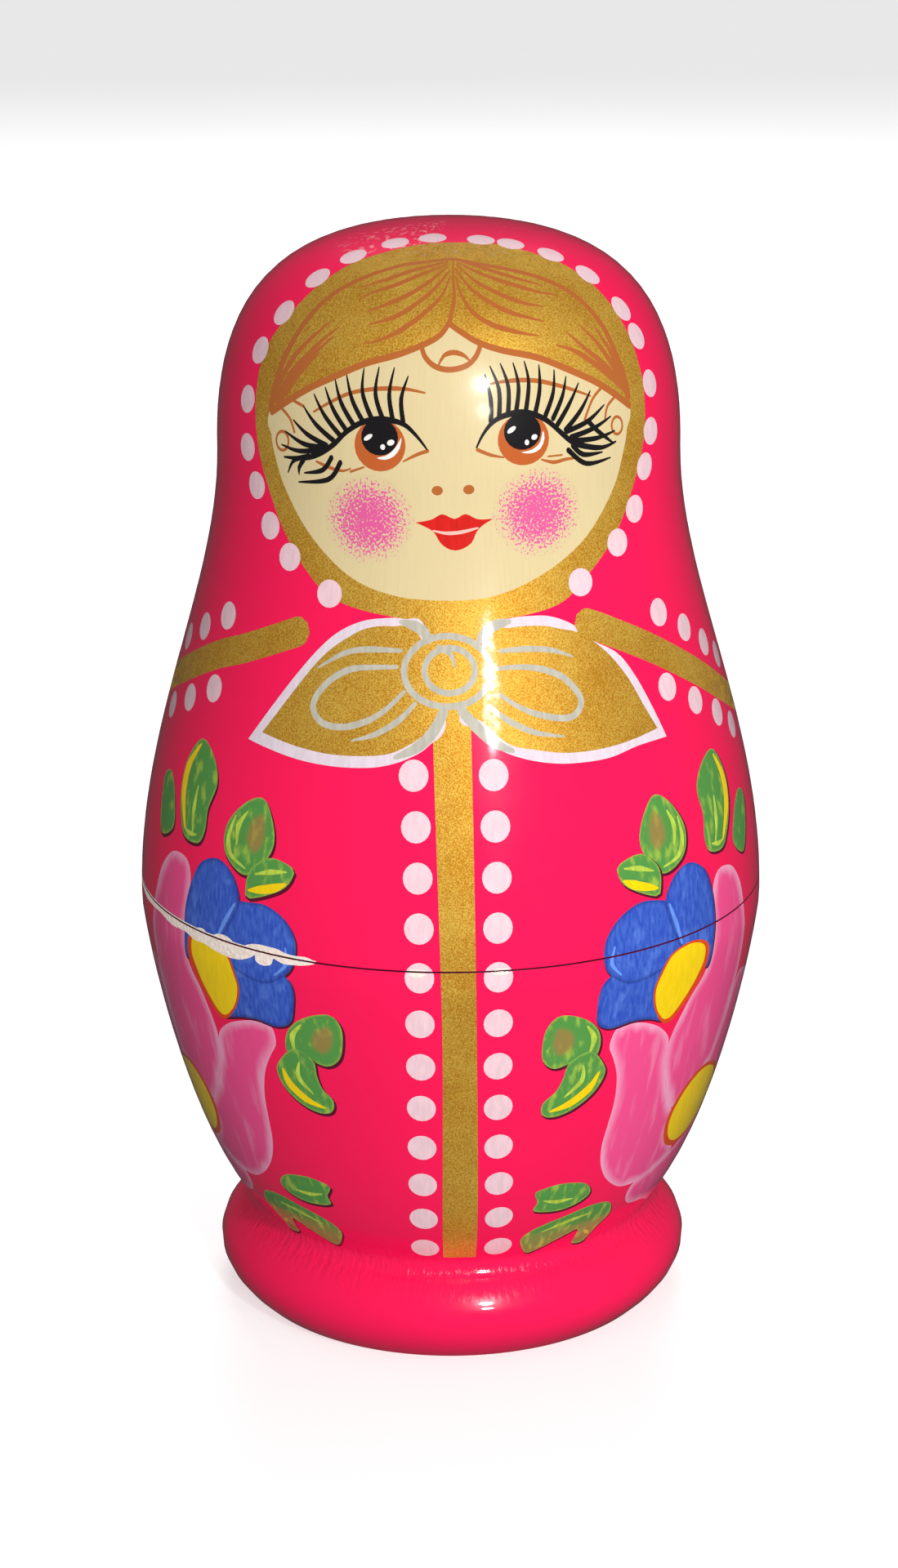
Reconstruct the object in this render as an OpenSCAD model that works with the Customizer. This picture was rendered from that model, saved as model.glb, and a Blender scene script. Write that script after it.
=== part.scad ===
// Nesting doll of turned wood: seven dolls, one inside the other.
// Each doll but the smallest parts at the belly, where a lip on the lower half fits the upper half.

/* [Outer doll] */
// Height of the outer doll
doll_height = 150; // [140:1:165]
// Radius of the flat sole that the doll stands on
sole_radius = 29.4; // [27.4:0.1:31]
// Largest radius of the rounded foot
foot_radius = 33; // [32:0.25:34.5]
// Radius at the bottom of the groove above the foot
waist_radius = 27.8; // [27:0.1:30]
// Height of the groove above the foot
waist_height = 13; // [12:0.1:14.5]
// Radius of the corner that the lower belly swells towards
hip_radius = 37.8; // [36.5:0.1:39.5]
// Height of the corner that the lower belly swells towards
hip_height = 23.4; // [21:0.1:26]
// Largest radius of the doll, at the belly
belly_radius = 42.8; // [41.5:0.1:46]
// Height of the largest radius
belly_height = 58; // [56:0.2:60]
// Radius of the head
head_radius = 30.9; // [30:0.1:33]
// Height at which the sides of the head stand upright
head_height = 120.7; // [117:0.1:124]
// Height of the joint between the lower and the upper half
seam_height = 61; // [60:0.25:64]

/* [Curves] */
// How far below its largest radius the belly still stands upright
belly_rise = 3.2; // [1:0.1:8]
// How far above its largest radius the belly still stands upright
shoulder_rise = 24.1; // [21:0.1:27]
// How far below the head the neck already stands upright
neck_rise = 19; // [16:0.1:22]
// How far the sides of the head still rise before the crown
temple_rise = 22.3; // [20:0.1:24]
// How far from the axis the crown is still flat
crown_reach = 20.1; // [18:0.1:22]

/* [Walls and fits] */
// Wall of the outer doll: smaller dolls are thinner, by the square root of their size
wall = 4.4; // [3.6:0.1:5]
// Wood between the waist groove and the floor of the cavity
base_web = 6; // [5:0.1:7]
// Thickness of the lip on the outer doll's lower half
lip_thickness = 2; // [1.6:0.05:2.2]
// Height of the lip on the outer doll's lower half
lip_height = 8; // [6:0.25:9]
// Radial clearance of the lip in the upper half
lip_clearance = 0.1; // [0.05:0.01:0.15]
// Clearance above the end of the lip
lip_end_clearance = 0.3; // [0.2:0.05:0.6]
// Least room above the head of the doll inside
crown_clearance = 6; // [5:0.25:7]
// Least room around the head of the doll inside
head_clearance = 0.4; // [0.3:0.05:0.6]
// Room around the foot of the doll inside
foot_clearance = 0.5; // [0.4:0.05:0.8]

/* [Hidden] */
$fn = 96;

// Dolls that part in two, and the index of the solid one inside them all
hollow_dolls = 6;
core = hollow_dolls;
lacquer = [1, 0.09, 0.38];

// Points along each stretch of the turned outline
foot_steps = 10;
belly_steps = 16;
shoulder_steps = 22;
crown_steps = 18;

floor_height = waist_height + base_web;

// The foot bulges to its radius half way up
foot_swell = (8 * foot_radius - sole_radius - waist_radius) / 6;
foot_curve = [
    [sole_radius, 0],
    [foot_swell, waist_height / 3],
    [foot_swell, waist_height * 2 / 3],
    [waist_radius, waist_height]
];
belly_curve = [
    [waist_radius, waist_height],
    [hip_radius, hip_height],
    [belly_radius, belly_height - belly_rise],
    [belly_radius, belly_height]
];
shoulder_curve = [
    [belly_radius, belly_height],
    [belly_radius, belly_height + shoulder_rise],
    [head_radius, head_height - neck_rise],
    [head_radius, head_height]
];
crown_curve = [
    [head_radius, head_height],
    [head_radius, head_height + temple_rise],
    [crown_reach, doll_height],
    [0, doll_height]
];

// Point of a cubic curve, and the points of one stretch without its end
function cubic(p, t) =
    pow(1 - t, 3) * p[0] + 3 * t * pow(1 - t, 2) * p[1] + 3 * t * t * (1 - t) * p[2] + pow(t, 3) * p[3];
function stretch(p, steps) = [for (i = [0 : steps - 1]) cubic(p, i / steps)];

// Outline of the outer doll above the groove, from the groove to just short of the top
body_points = concat(
    stretch(belly_curve, belly_steps),
    stretch(shoulder_curve, shoulder_steps),
    stretch(crown_curve, crown_steps)
);
outline_points = concat([[0, 0]], stretch(foot_curve, foot_steps), body_points, [[0, doll_height]]);

// The outline moved inwards by a wall, square to the curve
function inward(a, b) = [a[1] - b[1], b[0] - a[0]] / norm(b - a);
function inset(points, depth) = [
    for (i = [0 : len(points) - 1])
        let (before = points[max(i - 1, 0)], after = points[min(i + 1, len(points) - 1)])
            points[i] + depth * inward(before, after)
];

// Each doll is a smaller likeness of the outer one, sized to the cavity that holds it
function wall_at(size) = wall * sqrt(size);
function next_size(size) = min(
    (size * (doll_height - floor_height) - wall_at(size) - crown_clearance) / doll_height,
    (size * head_radius - wall_at(size) - head_clearance) / head_radius
);
function doll_size(k) = k == 0 ? 1 : next_size(doll_size(k - 1));

// Each doll stands on the floor of the one around it
function sole_level(k) = k == 0 ? 0 : sole_level(k - 1) + floor_height * doll_size(k - 1);

module outline(k) {
    polygon(doll_size(k) * outline_points);
}

// The cavity follows the outline at one wall's depth, down to a flat seat for the next doll's foot
module cavity(k) {
    size = doll_size(k);
    depth = wall_at(size);
    inner = doll_size(k + 1);
    intersection() {
        polygon(concat(
            [[0, waist_height * size]],
            inset(size * body_points, depth),
            [[0, doll_height * size - depth]]
        ));
        translate([0, floor_height * size])
            square([belly_radius, doll_height] * size);
    }
    translate([0, floor_height * size])
        square([foot_radius * inner + foot_clearance, waist_height * inner]);
}

module shell(k) {
    difference() {
        outline(k);
        cavity(k);
    }
}

function lip_radius(k) =
    belly_radius * doll_size(k) - wall_at(doll_size(k)) + lip_thickness * sqrt(doll_size(k));
function lip_top(k) = seam_height * doll_size(k) + lip_height * sqrt(doll_size(k));

// Lower half: cup, foot and the lip that stands above the seam
module lower_half(k) {
    size = doll_size(k);
    color(lacquer)
        translate([0, 0, sole_level(k)])
            rotate_extrude()
                intersection() {
                    shell(k);
                    union() {
                        square([belly_radius, seam_height] * size);
                        square([lip_radius(k), lip_top(k)]);
                    }
                }
}

// Upper half: cap with a rebate that takes the lip
module upper_half(k) {
    size = doll_size(k);
    color(lacquer)
        translate([0, 0, sole_level(k)])
            rotate_extrude()
                difference() {
                    shell(k);
                    square([belly_radius + wall, seam_height] * size);
                    square([lip_radius(k) + lip_clearance, lip_top(k) + lip_end_clearance]);
                }
}

// Smallest doll, turned from one solid piece
module core_doll() {
    color(lacquer)
        translate([0, 0, sole_level(core)])
            rotate_extrude()
                outline(core);
}

for (k = [0 : hollow_dolls - 1]) {
    lower_half(k);
    upper_half(k);
}
core_doll();
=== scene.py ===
import math

import bpy
import numpy as np
from bpy.props import FloatProperty, FloatVectorProperty, IntProperty, PointerProperty
from mathutils import Matrix, Vector, kdtree
from mathutils.geometry import delaunay_2d_cdt


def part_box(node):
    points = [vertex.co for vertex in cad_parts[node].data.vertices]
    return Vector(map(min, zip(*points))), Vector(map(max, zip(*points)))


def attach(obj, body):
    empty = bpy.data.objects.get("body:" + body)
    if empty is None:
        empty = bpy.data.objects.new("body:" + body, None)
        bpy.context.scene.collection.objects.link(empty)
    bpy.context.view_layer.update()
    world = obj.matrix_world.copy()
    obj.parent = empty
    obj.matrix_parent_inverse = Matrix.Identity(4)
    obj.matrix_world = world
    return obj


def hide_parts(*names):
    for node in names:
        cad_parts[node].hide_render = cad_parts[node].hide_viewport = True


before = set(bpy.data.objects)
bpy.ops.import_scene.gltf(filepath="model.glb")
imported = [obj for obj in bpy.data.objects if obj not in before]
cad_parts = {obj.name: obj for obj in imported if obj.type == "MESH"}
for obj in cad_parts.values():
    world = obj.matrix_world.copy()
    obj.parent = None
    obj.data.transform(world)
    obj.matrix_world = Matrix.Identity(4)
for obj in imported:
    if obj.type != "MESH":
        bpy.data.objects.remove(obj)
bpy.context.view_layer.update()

bl_info = {
    "name": "Painted Nesting Doll",
    "version": (1, 0, 0),
    "blender": (4, 5, 0),
    "location": "View3D > Sidebar > Nesting Doll",
    "description": "Turned wooden shells with a painted skin, one doll inside the other",
    "category": "Object",
}

MM = 0.001
HOLLOW = ("outer", "second", "third", "fourth", "fifth", "sixth")
CORE = "core_doll"

# Turned outline of the outer doll as four cubic curves: radius and height of their handles, in mm
FOOT_CURVE = ((29.4, 0), (34.47, 4.33), (34.47, 8.67), (27.8, 13))
BELLY_CURVE = ((27.8, 13), (37.8, 23.4), (42.8, 54.8), (42.8, 58))
SHOULDER_CURVE = ((42.8, 58), (42.8, 82.1), (30.9, 101.7), (30.9, 120.7))
CROWN_CURVE = ((30.9, 120.7), (30.9, 143), (20.1, 150), (0, 150))
BELLY_RADIUS = 42.8
FOOT_RADIUS = 33.0
WAIST_HEIGHT = 13.0
SEAM_HEIGHT = 61.0

# The painted skin is laid out flat: across is mm round the doll from its front, taken at this radius,
# and up is mm along the outline from the edge of the sole
ROUND = 36.0
HALF_TURN = math.pi * ROUND


def colour(red, green, blue):
    """A screen colour of 0 to 255 as the linear colour that shaders take."""
    parts = [c / 255 for c in (red, green, blue)]
    return tuple(c / 12.92 if c <= 0.04045 else ((c + 0.055) / 1.055) ** 2.4 for c in parts)


def tint(label, words, default):
    return FloatVectorProperty(name=label, description=words, default=default, subtype="COLOR", min=0, max=1)


def setting(label, words, default, **kind):
    return FloatProperty(name=label, description=words, default=default, **kind)


def length(label, words, default):
    """A length given in mm."""
    return setting(label, words, default * MM, unit="LENGTH", precision=5)


class DollSizes(bpy.types.PropertyGroup):
    wall: length("Wall", "Wall of the outer doll; a smaller doll's is thinner by the root of its size", 4.4)
    web: length("Base", "Wood between the waist groove and the floor inside", 6.0)
    lip: length("Lip", "Thickness of the lip on the outer doll's lower half", 2.0)
    lip_height: length("Lip height", "Height of the lip on the outer doll's lower half", 8.0)
    lip_gap: length("Lip gap", "Room round the lip in the upper half", 0.1)
    lip_end_gap: length("Lip end gap", "Room above the end of the lip", 0.3)
    foot_gap: length("Foot gap", "Room round the foot of the doll inside", 0.5)
    rim_drop: length("Rim drop", "Height of the rounding on each rim at the seam", 0.12)
    rim_depth: length("Rim depth", "Depth of the rounding on each rim at the seam", 0.6)
    eased: length("Eased edge", "Width of the eased edges of the outer doll's lip", 0.25)
    groove_round: length("Groove rounding", "Half length of the rounding in the waist groove", 2.6)
    row: length("Row", "Height of one row of faces on the skin", 2.0)
    columns: IntProperty(name="Columns", description="Faces round the belly", default=120, min=24)


class DollColours(bpy.types.PropertyGroup):
    lacquer: tint("Lacquer", "Pink ground", colour(255, 20, 86))
    gold_dark: tint("Dark gold", "Gold paint between its flakes", colour(216, 142, 26))
    gold_light: tint("Light gold", "Flakes in the gold paint", colour(255, 212, 92))
    cream: tint("Face", "Face paint", colour(216, 197, 150))
    sienna: tint("Sienna", "Strands, brows and outlines on the face", colour(180, 100, 46))
    black: tint("Black", "Lashes, lids and pupils", colour(26, 24, 26))
    iris: tint("Iris", "Eyes", colour(190, 94, 42))
    white: tint("White", "Lights in the eyes", colour(236, 234, 230))
    lips: tint("Lips", "Lips", colour(208, 30, 24))
    lip_line: tint("Lip line", "Light between the lips", colour(232, 186, 172))
    cheek: tint("Cheek", "Dabbed cheeks", colour(224, 74, 152))
    dots: tint("Dots", "Dots on scarf and gown", colour(240, 202, 210))
    silver: tint("Silver", "Outline of the bow", colour(226, 210, 220))
    grey: tint("Grey", "Lines on the bow", colour(186, 182, 168))
    blue: tint("Blue", "Blue flower", colour(46, 80, 186))
    blue_light: tint("Light blue", "Fibres and lights of the blue flower", colour(104, 146, 234))
    petal: tint("Petal", "Pink flower", colour(246, 78, 142))
    petal_light: tint("Light petal", "Edges of the pink flower", colour(246, 166, 198))
    yellow: tint("Yellow", "Centres of the flowers", colour(248, 210, 2))
    amber: tint("Amber", "Shaded edge of the yellow centres", colour(224, 74, 14))
    leaf: tint("Leaf", "Leaves", colour(84, 150, 70))
    leaf_light: tint("Light leaf", "Lights on the leaves", colour(184, 208, 72))
    leaf_print: tint("Leaf print", "Warm print in the middle of a leaf", colour(176, 112, 66))
    # The edge colour also paints the rounding of each rim at the seam, as painted shade in the gap between the
    # halves
    edge: tint("Edge", "Shaded edge of leaves and blue petals", colour(92, 14, 44))
    rubbed: tint("Rubbed", "Rubbed specks on the crown", colour(240, 200, 190))
    primer: tint("Primer", "Pale ground where the lacquer has chipped", colour(255, 238, 226))
    wood_dark: tint("Dark wood", "Dark rings of the bare wood", colour(206, 166, 118))
    wood_light: tint("Light wood", "Light rings of the bare wood", colour(240, 212, 170))


class DollStage(bpy.types.PropertyGroup):
    distance: setting("Distance", "Camera in front of the doll", 0.45, unit="LENGTH")
    height: setting("Height", "Camera above the floor", 0.2176, unit="LENGTH")
    aim: setting("Aim", "Height that the camera looks at", 0.0724, unit="LENGTH")
    lens: setting("Lens", "Focal length", 78.7, unit="CAMERA")
    roll: setting("Roll", "Tilt of the camera", -0.0044, subtype="ANGLE")
    lamp: setting("Lamp", "Power of the low lamp beside the camera", 0.6, unit="POWER")
    gleam_lamp: setting("Gleam lamp", "Power of the small lamp that gleams on the bow", 0.2, unit="POWER")
    high_lamp: setting("High lamp", "Power of the lamp above the camera", 1.15, unit="POWER")
    side_lamp: setting("Side lamp", "Power of the lamp on the right", 0.35, unit="POWER")
    back_lamp: setting("Back lamp", "Power of the large lamp behind", 11.0, unit="POWER")
    room: setting("Room", "Strength of the light all round", 0.45, min=0)
    gleam: setting("Gleam", "Strength of the room in reflections", 0.05, min=0)
    backdrop: setting("Backdrop", "Brightness of the backdrop behind the floor", 0.84, min=0)
    floor: tint("Floor", "Pale floor", (0.5, 0.5, 0.5))
    floor_glow: setting("Floor glow", "How brightly the floor shines by itself", 1.2, min=0)


def sizes():
    return bpy.context.scene.doll_sizes


def colours():
    return bpy.context.scene.doll_colours


# Turned outline


def cubic(handles, t):
    p = np.array(handles, float)
    t = np.asarray(t, float)[:, None]
    return (1 - t) ** 3 * p[0] + 3 * t * (1 - t) ** 2 * p[1] + 3 * t * t * (1 - t) * p[2] + t ** 3 * p[3]


class Outline:
    """The outer doll's outline, measured along its surface from the edge of the sole, in mm."""

    steps = 90

    def __init__(self, groove_round):
        t = np.linspace(0, 1, self.steps + 1)
        foot = cubic(FOOT_CURVE, t)
        body = np.concatenate([cubic(c, t)[1:] for c in (BELLY_CURVE, SHOULDER_CURVE, CROWN_CURVE)])
        points = np.concatenate([foot, body])
        self.up = np.concatenate([[0], np.cumsum(np.linalg.norm(np.diff(points, axis=0), axis=1))])
        self.waist = self.up[self.steps]
        self.seam = np.interp(SEAM_HEIGHT, body[:, 1], self.up[self.steps + 1:])
        self.top = self.up[-1]
        self.body = np.concatenate([foot[-1:], body])
        ends = [[np.interp(self.waist + s * groove_round, self.up, points[:, i]) for i in (0, 1)] for s in (-1, 1)]
        near = np.abs(self.up - self.waist) < groove_round
        u = ((self.up[near] - self.waist) / groove_round + 1)[:, None] / 2
        points[near] = (1 - u) ** 2 * ends[0] + 2 * u * (1 - u) * foot[-1] + u * u * ends[1]
        self.points = points
        slope = np.gradient(points, self.up, axis=0)
        normal = np.stack([slope[:, 1], -slope[:, 0]], 1)
        self.normals = normal / np.linalg.norm(normal, axis=1)[:, None]

    def radius(self, up):
        return np.interp(up, self.up, self.points[:, 0])

    def height(self, up):
        return np.interp(up, self.up, self.points[:, 1])

    def wrapped(self, flat):
        """Places and outward normals of flat (across, up) points on the outer doll, in mm."""
        turn = flat[:, 0] / ROUND
        way = np.stack([np.sin(turn), -np.cos(turn)], 1)
        r = self.radius(flat[:, 1])
        places = np.column_stack([way * r[:, None], self.height(flat[:, 1])])
        out = np.interp(flat[:, 1], self.up, self.normals[:, 0])
        rise = np.interp(flat[:, 1], self.up, self.normals[:, 1])
        return places, np.column_stack([way * out[:, None], rise])


# Drawing in the flat


def flowing(points, closed, step=0.5):
    """A smooth line through the points. A point given twice running is a corner."""
    p = [np.array(q, float) for q in points]
    n = len(p)
    line = []
    for i in range(n if closed else n - 1):
        a, b = p[i], p[(i + 1) % n]
        if np.allclose(a, b):
            continue
        before = p[i - 1] if closed or i > 0 else a
        after = p[(i + 2) % n] if closed or i + 2 < n else b
        count = max(2, int(np.linalg.norm(b - a) / step))
        t = np.arange(count)[:, None] / count
        from_a, to_b = (b - before) / 2, (after - a) / 2
        line.append(
            (2 * t ** 3 - 3 * t * t + 1) * a + (t ** 3 - 2 * t * t + t) * from_a
            + (3 * t * t - 2 * t ** 3) * b + (t ** 3 - t * t) * to_b
        )
    if not closed:
        line.append(p[-1][None])
    return np.concatenate(line)


def sideways(line, closed):
    """Unit normals to the left of a line."""
    if closed:
        along = np.roll(line, -1, axis=0) - np.roll(line, 1, axis=0)
    else:
        along = np.gradient(line, axis=0)
    along = along / np.maximum(np.linalg.norm(along, axis=1), 1e-9)[:, None]
    return np.stack([-along[:, 1], along[:, 0]], 1)


def turning(line):
    """Above 0 where a closed line runs anticlockwise."""
    return np.sum(line[:, 0] * np.roll(line[:, 1], -1) - line[:, 1] * np.roll(line[:, 0], -1))


# Where the points of a stroke's round end begin, as an angle from its side
TIP_TURN = 0.5


class Painting:
    """Shapes in the flat, in the order in which they are painted, each with its finish."""

    def __init__(self, outline):
        self.outline = outline
        self.shapes = []

    def lay(self, finish, shape):
        self.shapes.append((finish, shape))

    def area(self, finish, points, grow=0.0):
        line = flowing(points, True)
        if grow:
            line = line - math.copysign(grow, turning(line)) * sideways(line, True)
        self.lay(finish, line)

    def stroke(self, finish, points, *widths, step=0.5):
        """A brush stroke along points, as wide as the widths given evenly along it, with round ends."""
        line = flowing(points, False, step)
        run = np.linspace(0, 1, len(line))
        half = np.interp(run, np.linspace(0, 1, len(widths)), widths)[:, None] / 2
        side = sideways(line, False) * half
        tips = []
        for at, way in ((0, -1), (-1, 1)):
            ahead = way * np.array([side[at][1], -side[at][0]])
            turns = np.linspace(TIP_TURN, math.pi - TIP_TURN, 4)
            tips.append(line[at] + [math.cos(g) * way * side[at] + math.sin(g) * ahead for g in turns])
        self.lay(finish, np.concatenate([line + side, tips[1], (line - side)[::-1], tips[0]]))

    def spot(self, finish, across, up, wide, high=None, turn=0.0):
        """An oval of true half width and half height on the doll."""
        high = high or wide
        count = max(12, int(14 * math.sqrt(max(wide, high))))
        g = np.arange(count) * math.tau / count
        x, y = wide * np.cos(g), high * np.sin(g)
        x, y = x * math.cos(turn) - y * math.sin(turn), x * math.sin(turn) + y * math.cos(turn)
        true = ROUND / self.outline.radius(up)
        self.lay(finish, np.stack([across + x * true, up + y], 1))

    def ring(self, finish, across, up, wide, high, width):
        g = np.linspace(0, math.tau, 25)
        self.stroke(finish, np.stack([across + wide * np.cos(g), up + high * np.sin(g)], 1), width)


# What is painted

SCARF_EDGE = (
    (0, 112), (-15, 113.6), (-22, 117.4), (-28.5, 124), (-33, 132), (-34.8, 140), (-34.4, 145), (-32, 149.6),
    (-29, 155), (-24.4, 160), (-13, 164.6), (-1, 166), (17, 165), (28.4, 160), (32.7, 155.7), (34.9, 149.3),
    (35.6, 140), (33.6, 131), (28, 122.3), (20, 116), (14, 113),
)
SCARF_TIE = ((-6.5, 113), (6.8, 113), (5, 109.6), (-4.6, 109.6))
FACE_EDGE = (
    (-30.2, 137.3), (-29.7, 133.5), (-28.5, 130.5), (-26.5, 127), (-22, 122.2), (-15, 117.4), (-8, 115.2),
    (0, 114.7), (6, 115.1), (12, 116.8), (18, 119.5), (22.5, 122.5), (26.8, 127), (28.8, 131), (30, 134),
    (30.6, 138.2), (20, 150), (0, 156), (-20, 150),
)
HAIRLINE = (
    (-30, 136.6), (-23.4, 140.1), (-18.2, 142.3), (-13.3, 144.2), (-7.6, 145.7), (-2, 147.8), (0.1, 149.8),
    (0.1, 149.8), (2.3, 148.5), (5.1, 147.1), (8.8, 146), (14.5, 144.8), (19.9, 142.8), (25.2, 140.5),
    (31.1, 137.1),
)
HAIR_TOP = (
    (31.1, 138.4), (30.9, 141.3), (30.2, 144.4), (29.5, 147.8), (27.8, 151.1), (25.3, 153.8), (21.1, 156.2),
    (15.5, 158.1), (8.1, 159.8), (1.3, 161.1), (-5.7, 160.4), (-11.9, 159.4), (-18.1, 157.1), (-22.8, 154.4),
    (-26, 151.1), (-28, 147.3), (-29.3, 143.8), (-30, 140.5), (-30.3, 137.2),
)
STRANDS = (
    ((1.7, 157.3), (2.7, 153.9), (4.7, 151.2), (7.6, 149.5), (11.4, 148.4), (15.8, 147.5)),
    ((1.8, 159.1), (4.4, 155.4), (7.9, 152.8), (11.7, 151), (17.5, 149.4)),
    ((2.2, 159.9), (5.8, 156.5), (9.9, 154.2), (14.3, 152.4), (18.6, 151.5)),
    ((2.6, 160.3), (7.8, 157.7), (12.8, 155.8), (18.5, 153.9), (22.6, 153)),
    ((3, 160.7), (9.5, 158.6), (15.1, 156.6), (20.5, 154.8)),
    ((0.5, 157.3), (-1.3, 153.9), (-4.4, 151.2), (-8.1, 148.8), (-11.3, 147.4), (-14.1, 146.7)),
    ((0.3, 158.5), (-2.9, 155), (-6.5, 152.3), (-9.8, 150.5), (-14.2, 149.3)),
    ((0, 159.4), (-4.1, 156.3), (-7.9, 154), (-11.9, 152.3), (-15.3, 151)),
    ((0, 159.9), (-6.2, 157.7), (-11.1, 155.6), (-15.4, 154.1), (-17.9, 152.7)),
    ((0, 160.5), (-7.7, 158.7), (-13.9, 156.4), (-18.7, 154.8)),
)
TEMPLE_STRANDS = (
    ((21.2, 147.6), (24.2, 145), (27.5, 142.4), (30.6, 138.8)),
    ((18.6, 146.1), (22.1, 144.9), (26.3, 142.3), (29.9, 139.5)),
    ((27.5, 147.7), (29.1, 144.5), (30, 141.4), (30.8, 138.5)),
    ((24.6, 148.2), (27, 145.4), (29.2, 142), (30.6, 138.8)),
    ((-21.8, 149.3), (-24.3, 147), (-26.9, 144.4), (-28.6, 141.6), (-29.7, 138.6)),
    ((-19.8, 148.6), (-22.4, 146.5), (-25, 143.9), (-27.4, 141.4), (-29.3, 138)),
    ((-20.2, 147.3), (-23.6, 144.4), (-26.8, 141.2), (-29.1, 137.4)),
    ((-22.3, 144.8), (-25.4, 142), (-28.6, 137.8)),
)
PARTING = ((1.3, 161.1), (1.2, 156.1), (1.2, 153.6), (0.4, 150.5), (0.1, 149.7))
SCARF_DOTS = (
    (-17.5, 114.7), (-25, 118.5), (-29.6, 121.9), (-33.3, 126.6), (-35.9, 131.2), (-36.9, 137.3),
    (-36.3, 143.8), (-34.1, 149.3), (-31.7, 155.3), (-28.2, 160.4), (-20.3, 165.2), (-7, 167.8), (14, 166.7),
    (23.4, 164.5), (31.3, 160.3), (35.2, 155.3), (37.2, 149.3), (37.7, 145.3), (37.7, 139), (36.3, 133),
    (34.3, 128.7), (31.4, 123.6), (27, 119.9), (19.5, 115.8),
)
SCARF_DOT = 1.8
# A lash is its root, its bend and its tip
LEFT_LASHES = (
    ((-6.8, 137.1), (-7.2, 140), (-6.3, 142.8)), ((-8.4, 137.4), (-9.1, 140.5), (-8.6, 143.8)),
    ((-10, 137.5), (-11.3, 140.5), (-11.1, 143.8)), ((-11.7, 137.4), (-13.4, 140.5), (-13.6, 143.5)),
    ((-13.1, 137), (-15, 139.5), (-16.4, 142.5)), ((-14.5, 136.4), (-16.8, 139), (-18.3, 141.8)),
    ((-15.6, 135.6), (-18, 138), (-19.9, 140.7)), ((-16.6, 134.9), (-19.5, 137.2), (-21.8, 139.7)),
    ((-17.7, 134.2), (-21, 136), (-23.5, 138)), ((-18.9, 133.5), (-22.5, 134.6), (-25.3, 136.1)),
    ((-19.5, 133.2), (-23, 133.3), (-26.8, 134.5)), ((-20, 132.8), (-24, 132.3), (-27.4, 132.7)),
    ((-22, 131.8), (-24.8, 131), (-26, 129.3)), ((-23, 131.2), (-23.8, 130.2), (-23.8, 129.3)),
    ((-18, 132), (-19.5, 130.3), (-22.8, 129.6)), ((-16.5, 131.5), (-18.5, 129.2), (-23.9, 128.3)),
)
RIGHT_LASHES = (
    ((6.3, 137.2), (6.4, 140), (5.7, 143)), ((7.6, 137.8), (7.75, 141.1), (6.6, 144)),
    ((9, 138.2), (9.25, 141.4), (8.3, 144.3)), ((10.25, 138.25), (10.9, 141.4), (10.4, 144.3)),
    ((11.8, 138.3), (12.6, 141.75), (12.3, 144.4)), ((13.3, 138), (14.3, 140.8), (14.7, 143.8)),
    ((14.9, 137.5), (16.5, 140.2), (17.2, 143)), ((16.1, 137), (18, 139.6), (19.1, 142)),
    ((16.8, 136.2), (19.3, 138.8), (21.2, 141)), ((18.1, 135.4), (20.9, 137.5), (23.2, 139.8)),
    ((18.3, 135.2), (22.1, 136.1), (25.6, 137.8)), ((19, 134.4), (23.1, 135.1), (26.7, 136.2)),
    ((19.3, 133.9), (23.7, 133.8), (27.3, 134.3)), ((22.3, 136), (24, 134.6), (27, 132.7)),
    ((19.2, 133.3), (21, 132), (24.6, 131.9)), ((18.4, 132.8), (21.5, 130.8), (26.2, 131)),
)
LEFT_LID = (
    (-3.2, 133.8), (-4.7, 135.4), (-6.6, 136.8), (-8.9, 137.3), (-11.1, 137.3), (-13.4, 136.7), (-15.7, 135.4),
    (-17.7, 133.7), (-20.2, 132.3), (-22.4, 131.6), (-24.8, 131.3), (-26.8, 131.2),
)
RIGHT_LID = (
    (4.1, 134), (5, 135.5), (6.5, 137), (8.4, 137.8), (11.1, 138.1), (13.4, 137.6), (15.4, 136.6),
    (17.3, 135.1), (19.3, 133.7), (21.9, 132.9), (24.7, 132.5), (27.4, 132.9),
)
LEFT_CHEEK, RIGHT_CHEEK = (-12, 124.6), (13.3, 125.4)
CHEEK = (6.0, 5.7)
NOSTRILS = ((-1.7, 128.6), (2.9, 128.7))
LIPS = (
    (-4.9, 124.5), (-4.9, 124.5), (-2.6, 124.9), (-1, 125.6), (0.8, 125), (2.4, 125.6), (4.2, 124.9),
    (6.5, 124.9), (6.5, 124.9), (4.9, 124.1), (4, 123.3), (3.2, 121.9), (1.6, 121.1), (0.2, 121.1),
    (-1.2, 121.9), (-2.2, 123.3), (-3.3, 123.9),
)
LIP_LINE = ((-2.3, 123.5), (-0.5, 123.2), (1.7, 123.3), (4.2, 123.8))
CURL = ((-4.4, 146.8), (-3.9, 145.5), (-2.3, 144.2), (0.1, 143.7), (2.9, 144.2), (4.6, 145.5), (5.3, 146.8))
CURL_INSIDE = ((-1.5, 144.4), (-0.7, 145.5), (0.9, 145.9), (2.5, 145.5), (3.3, 144.9))
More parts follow.
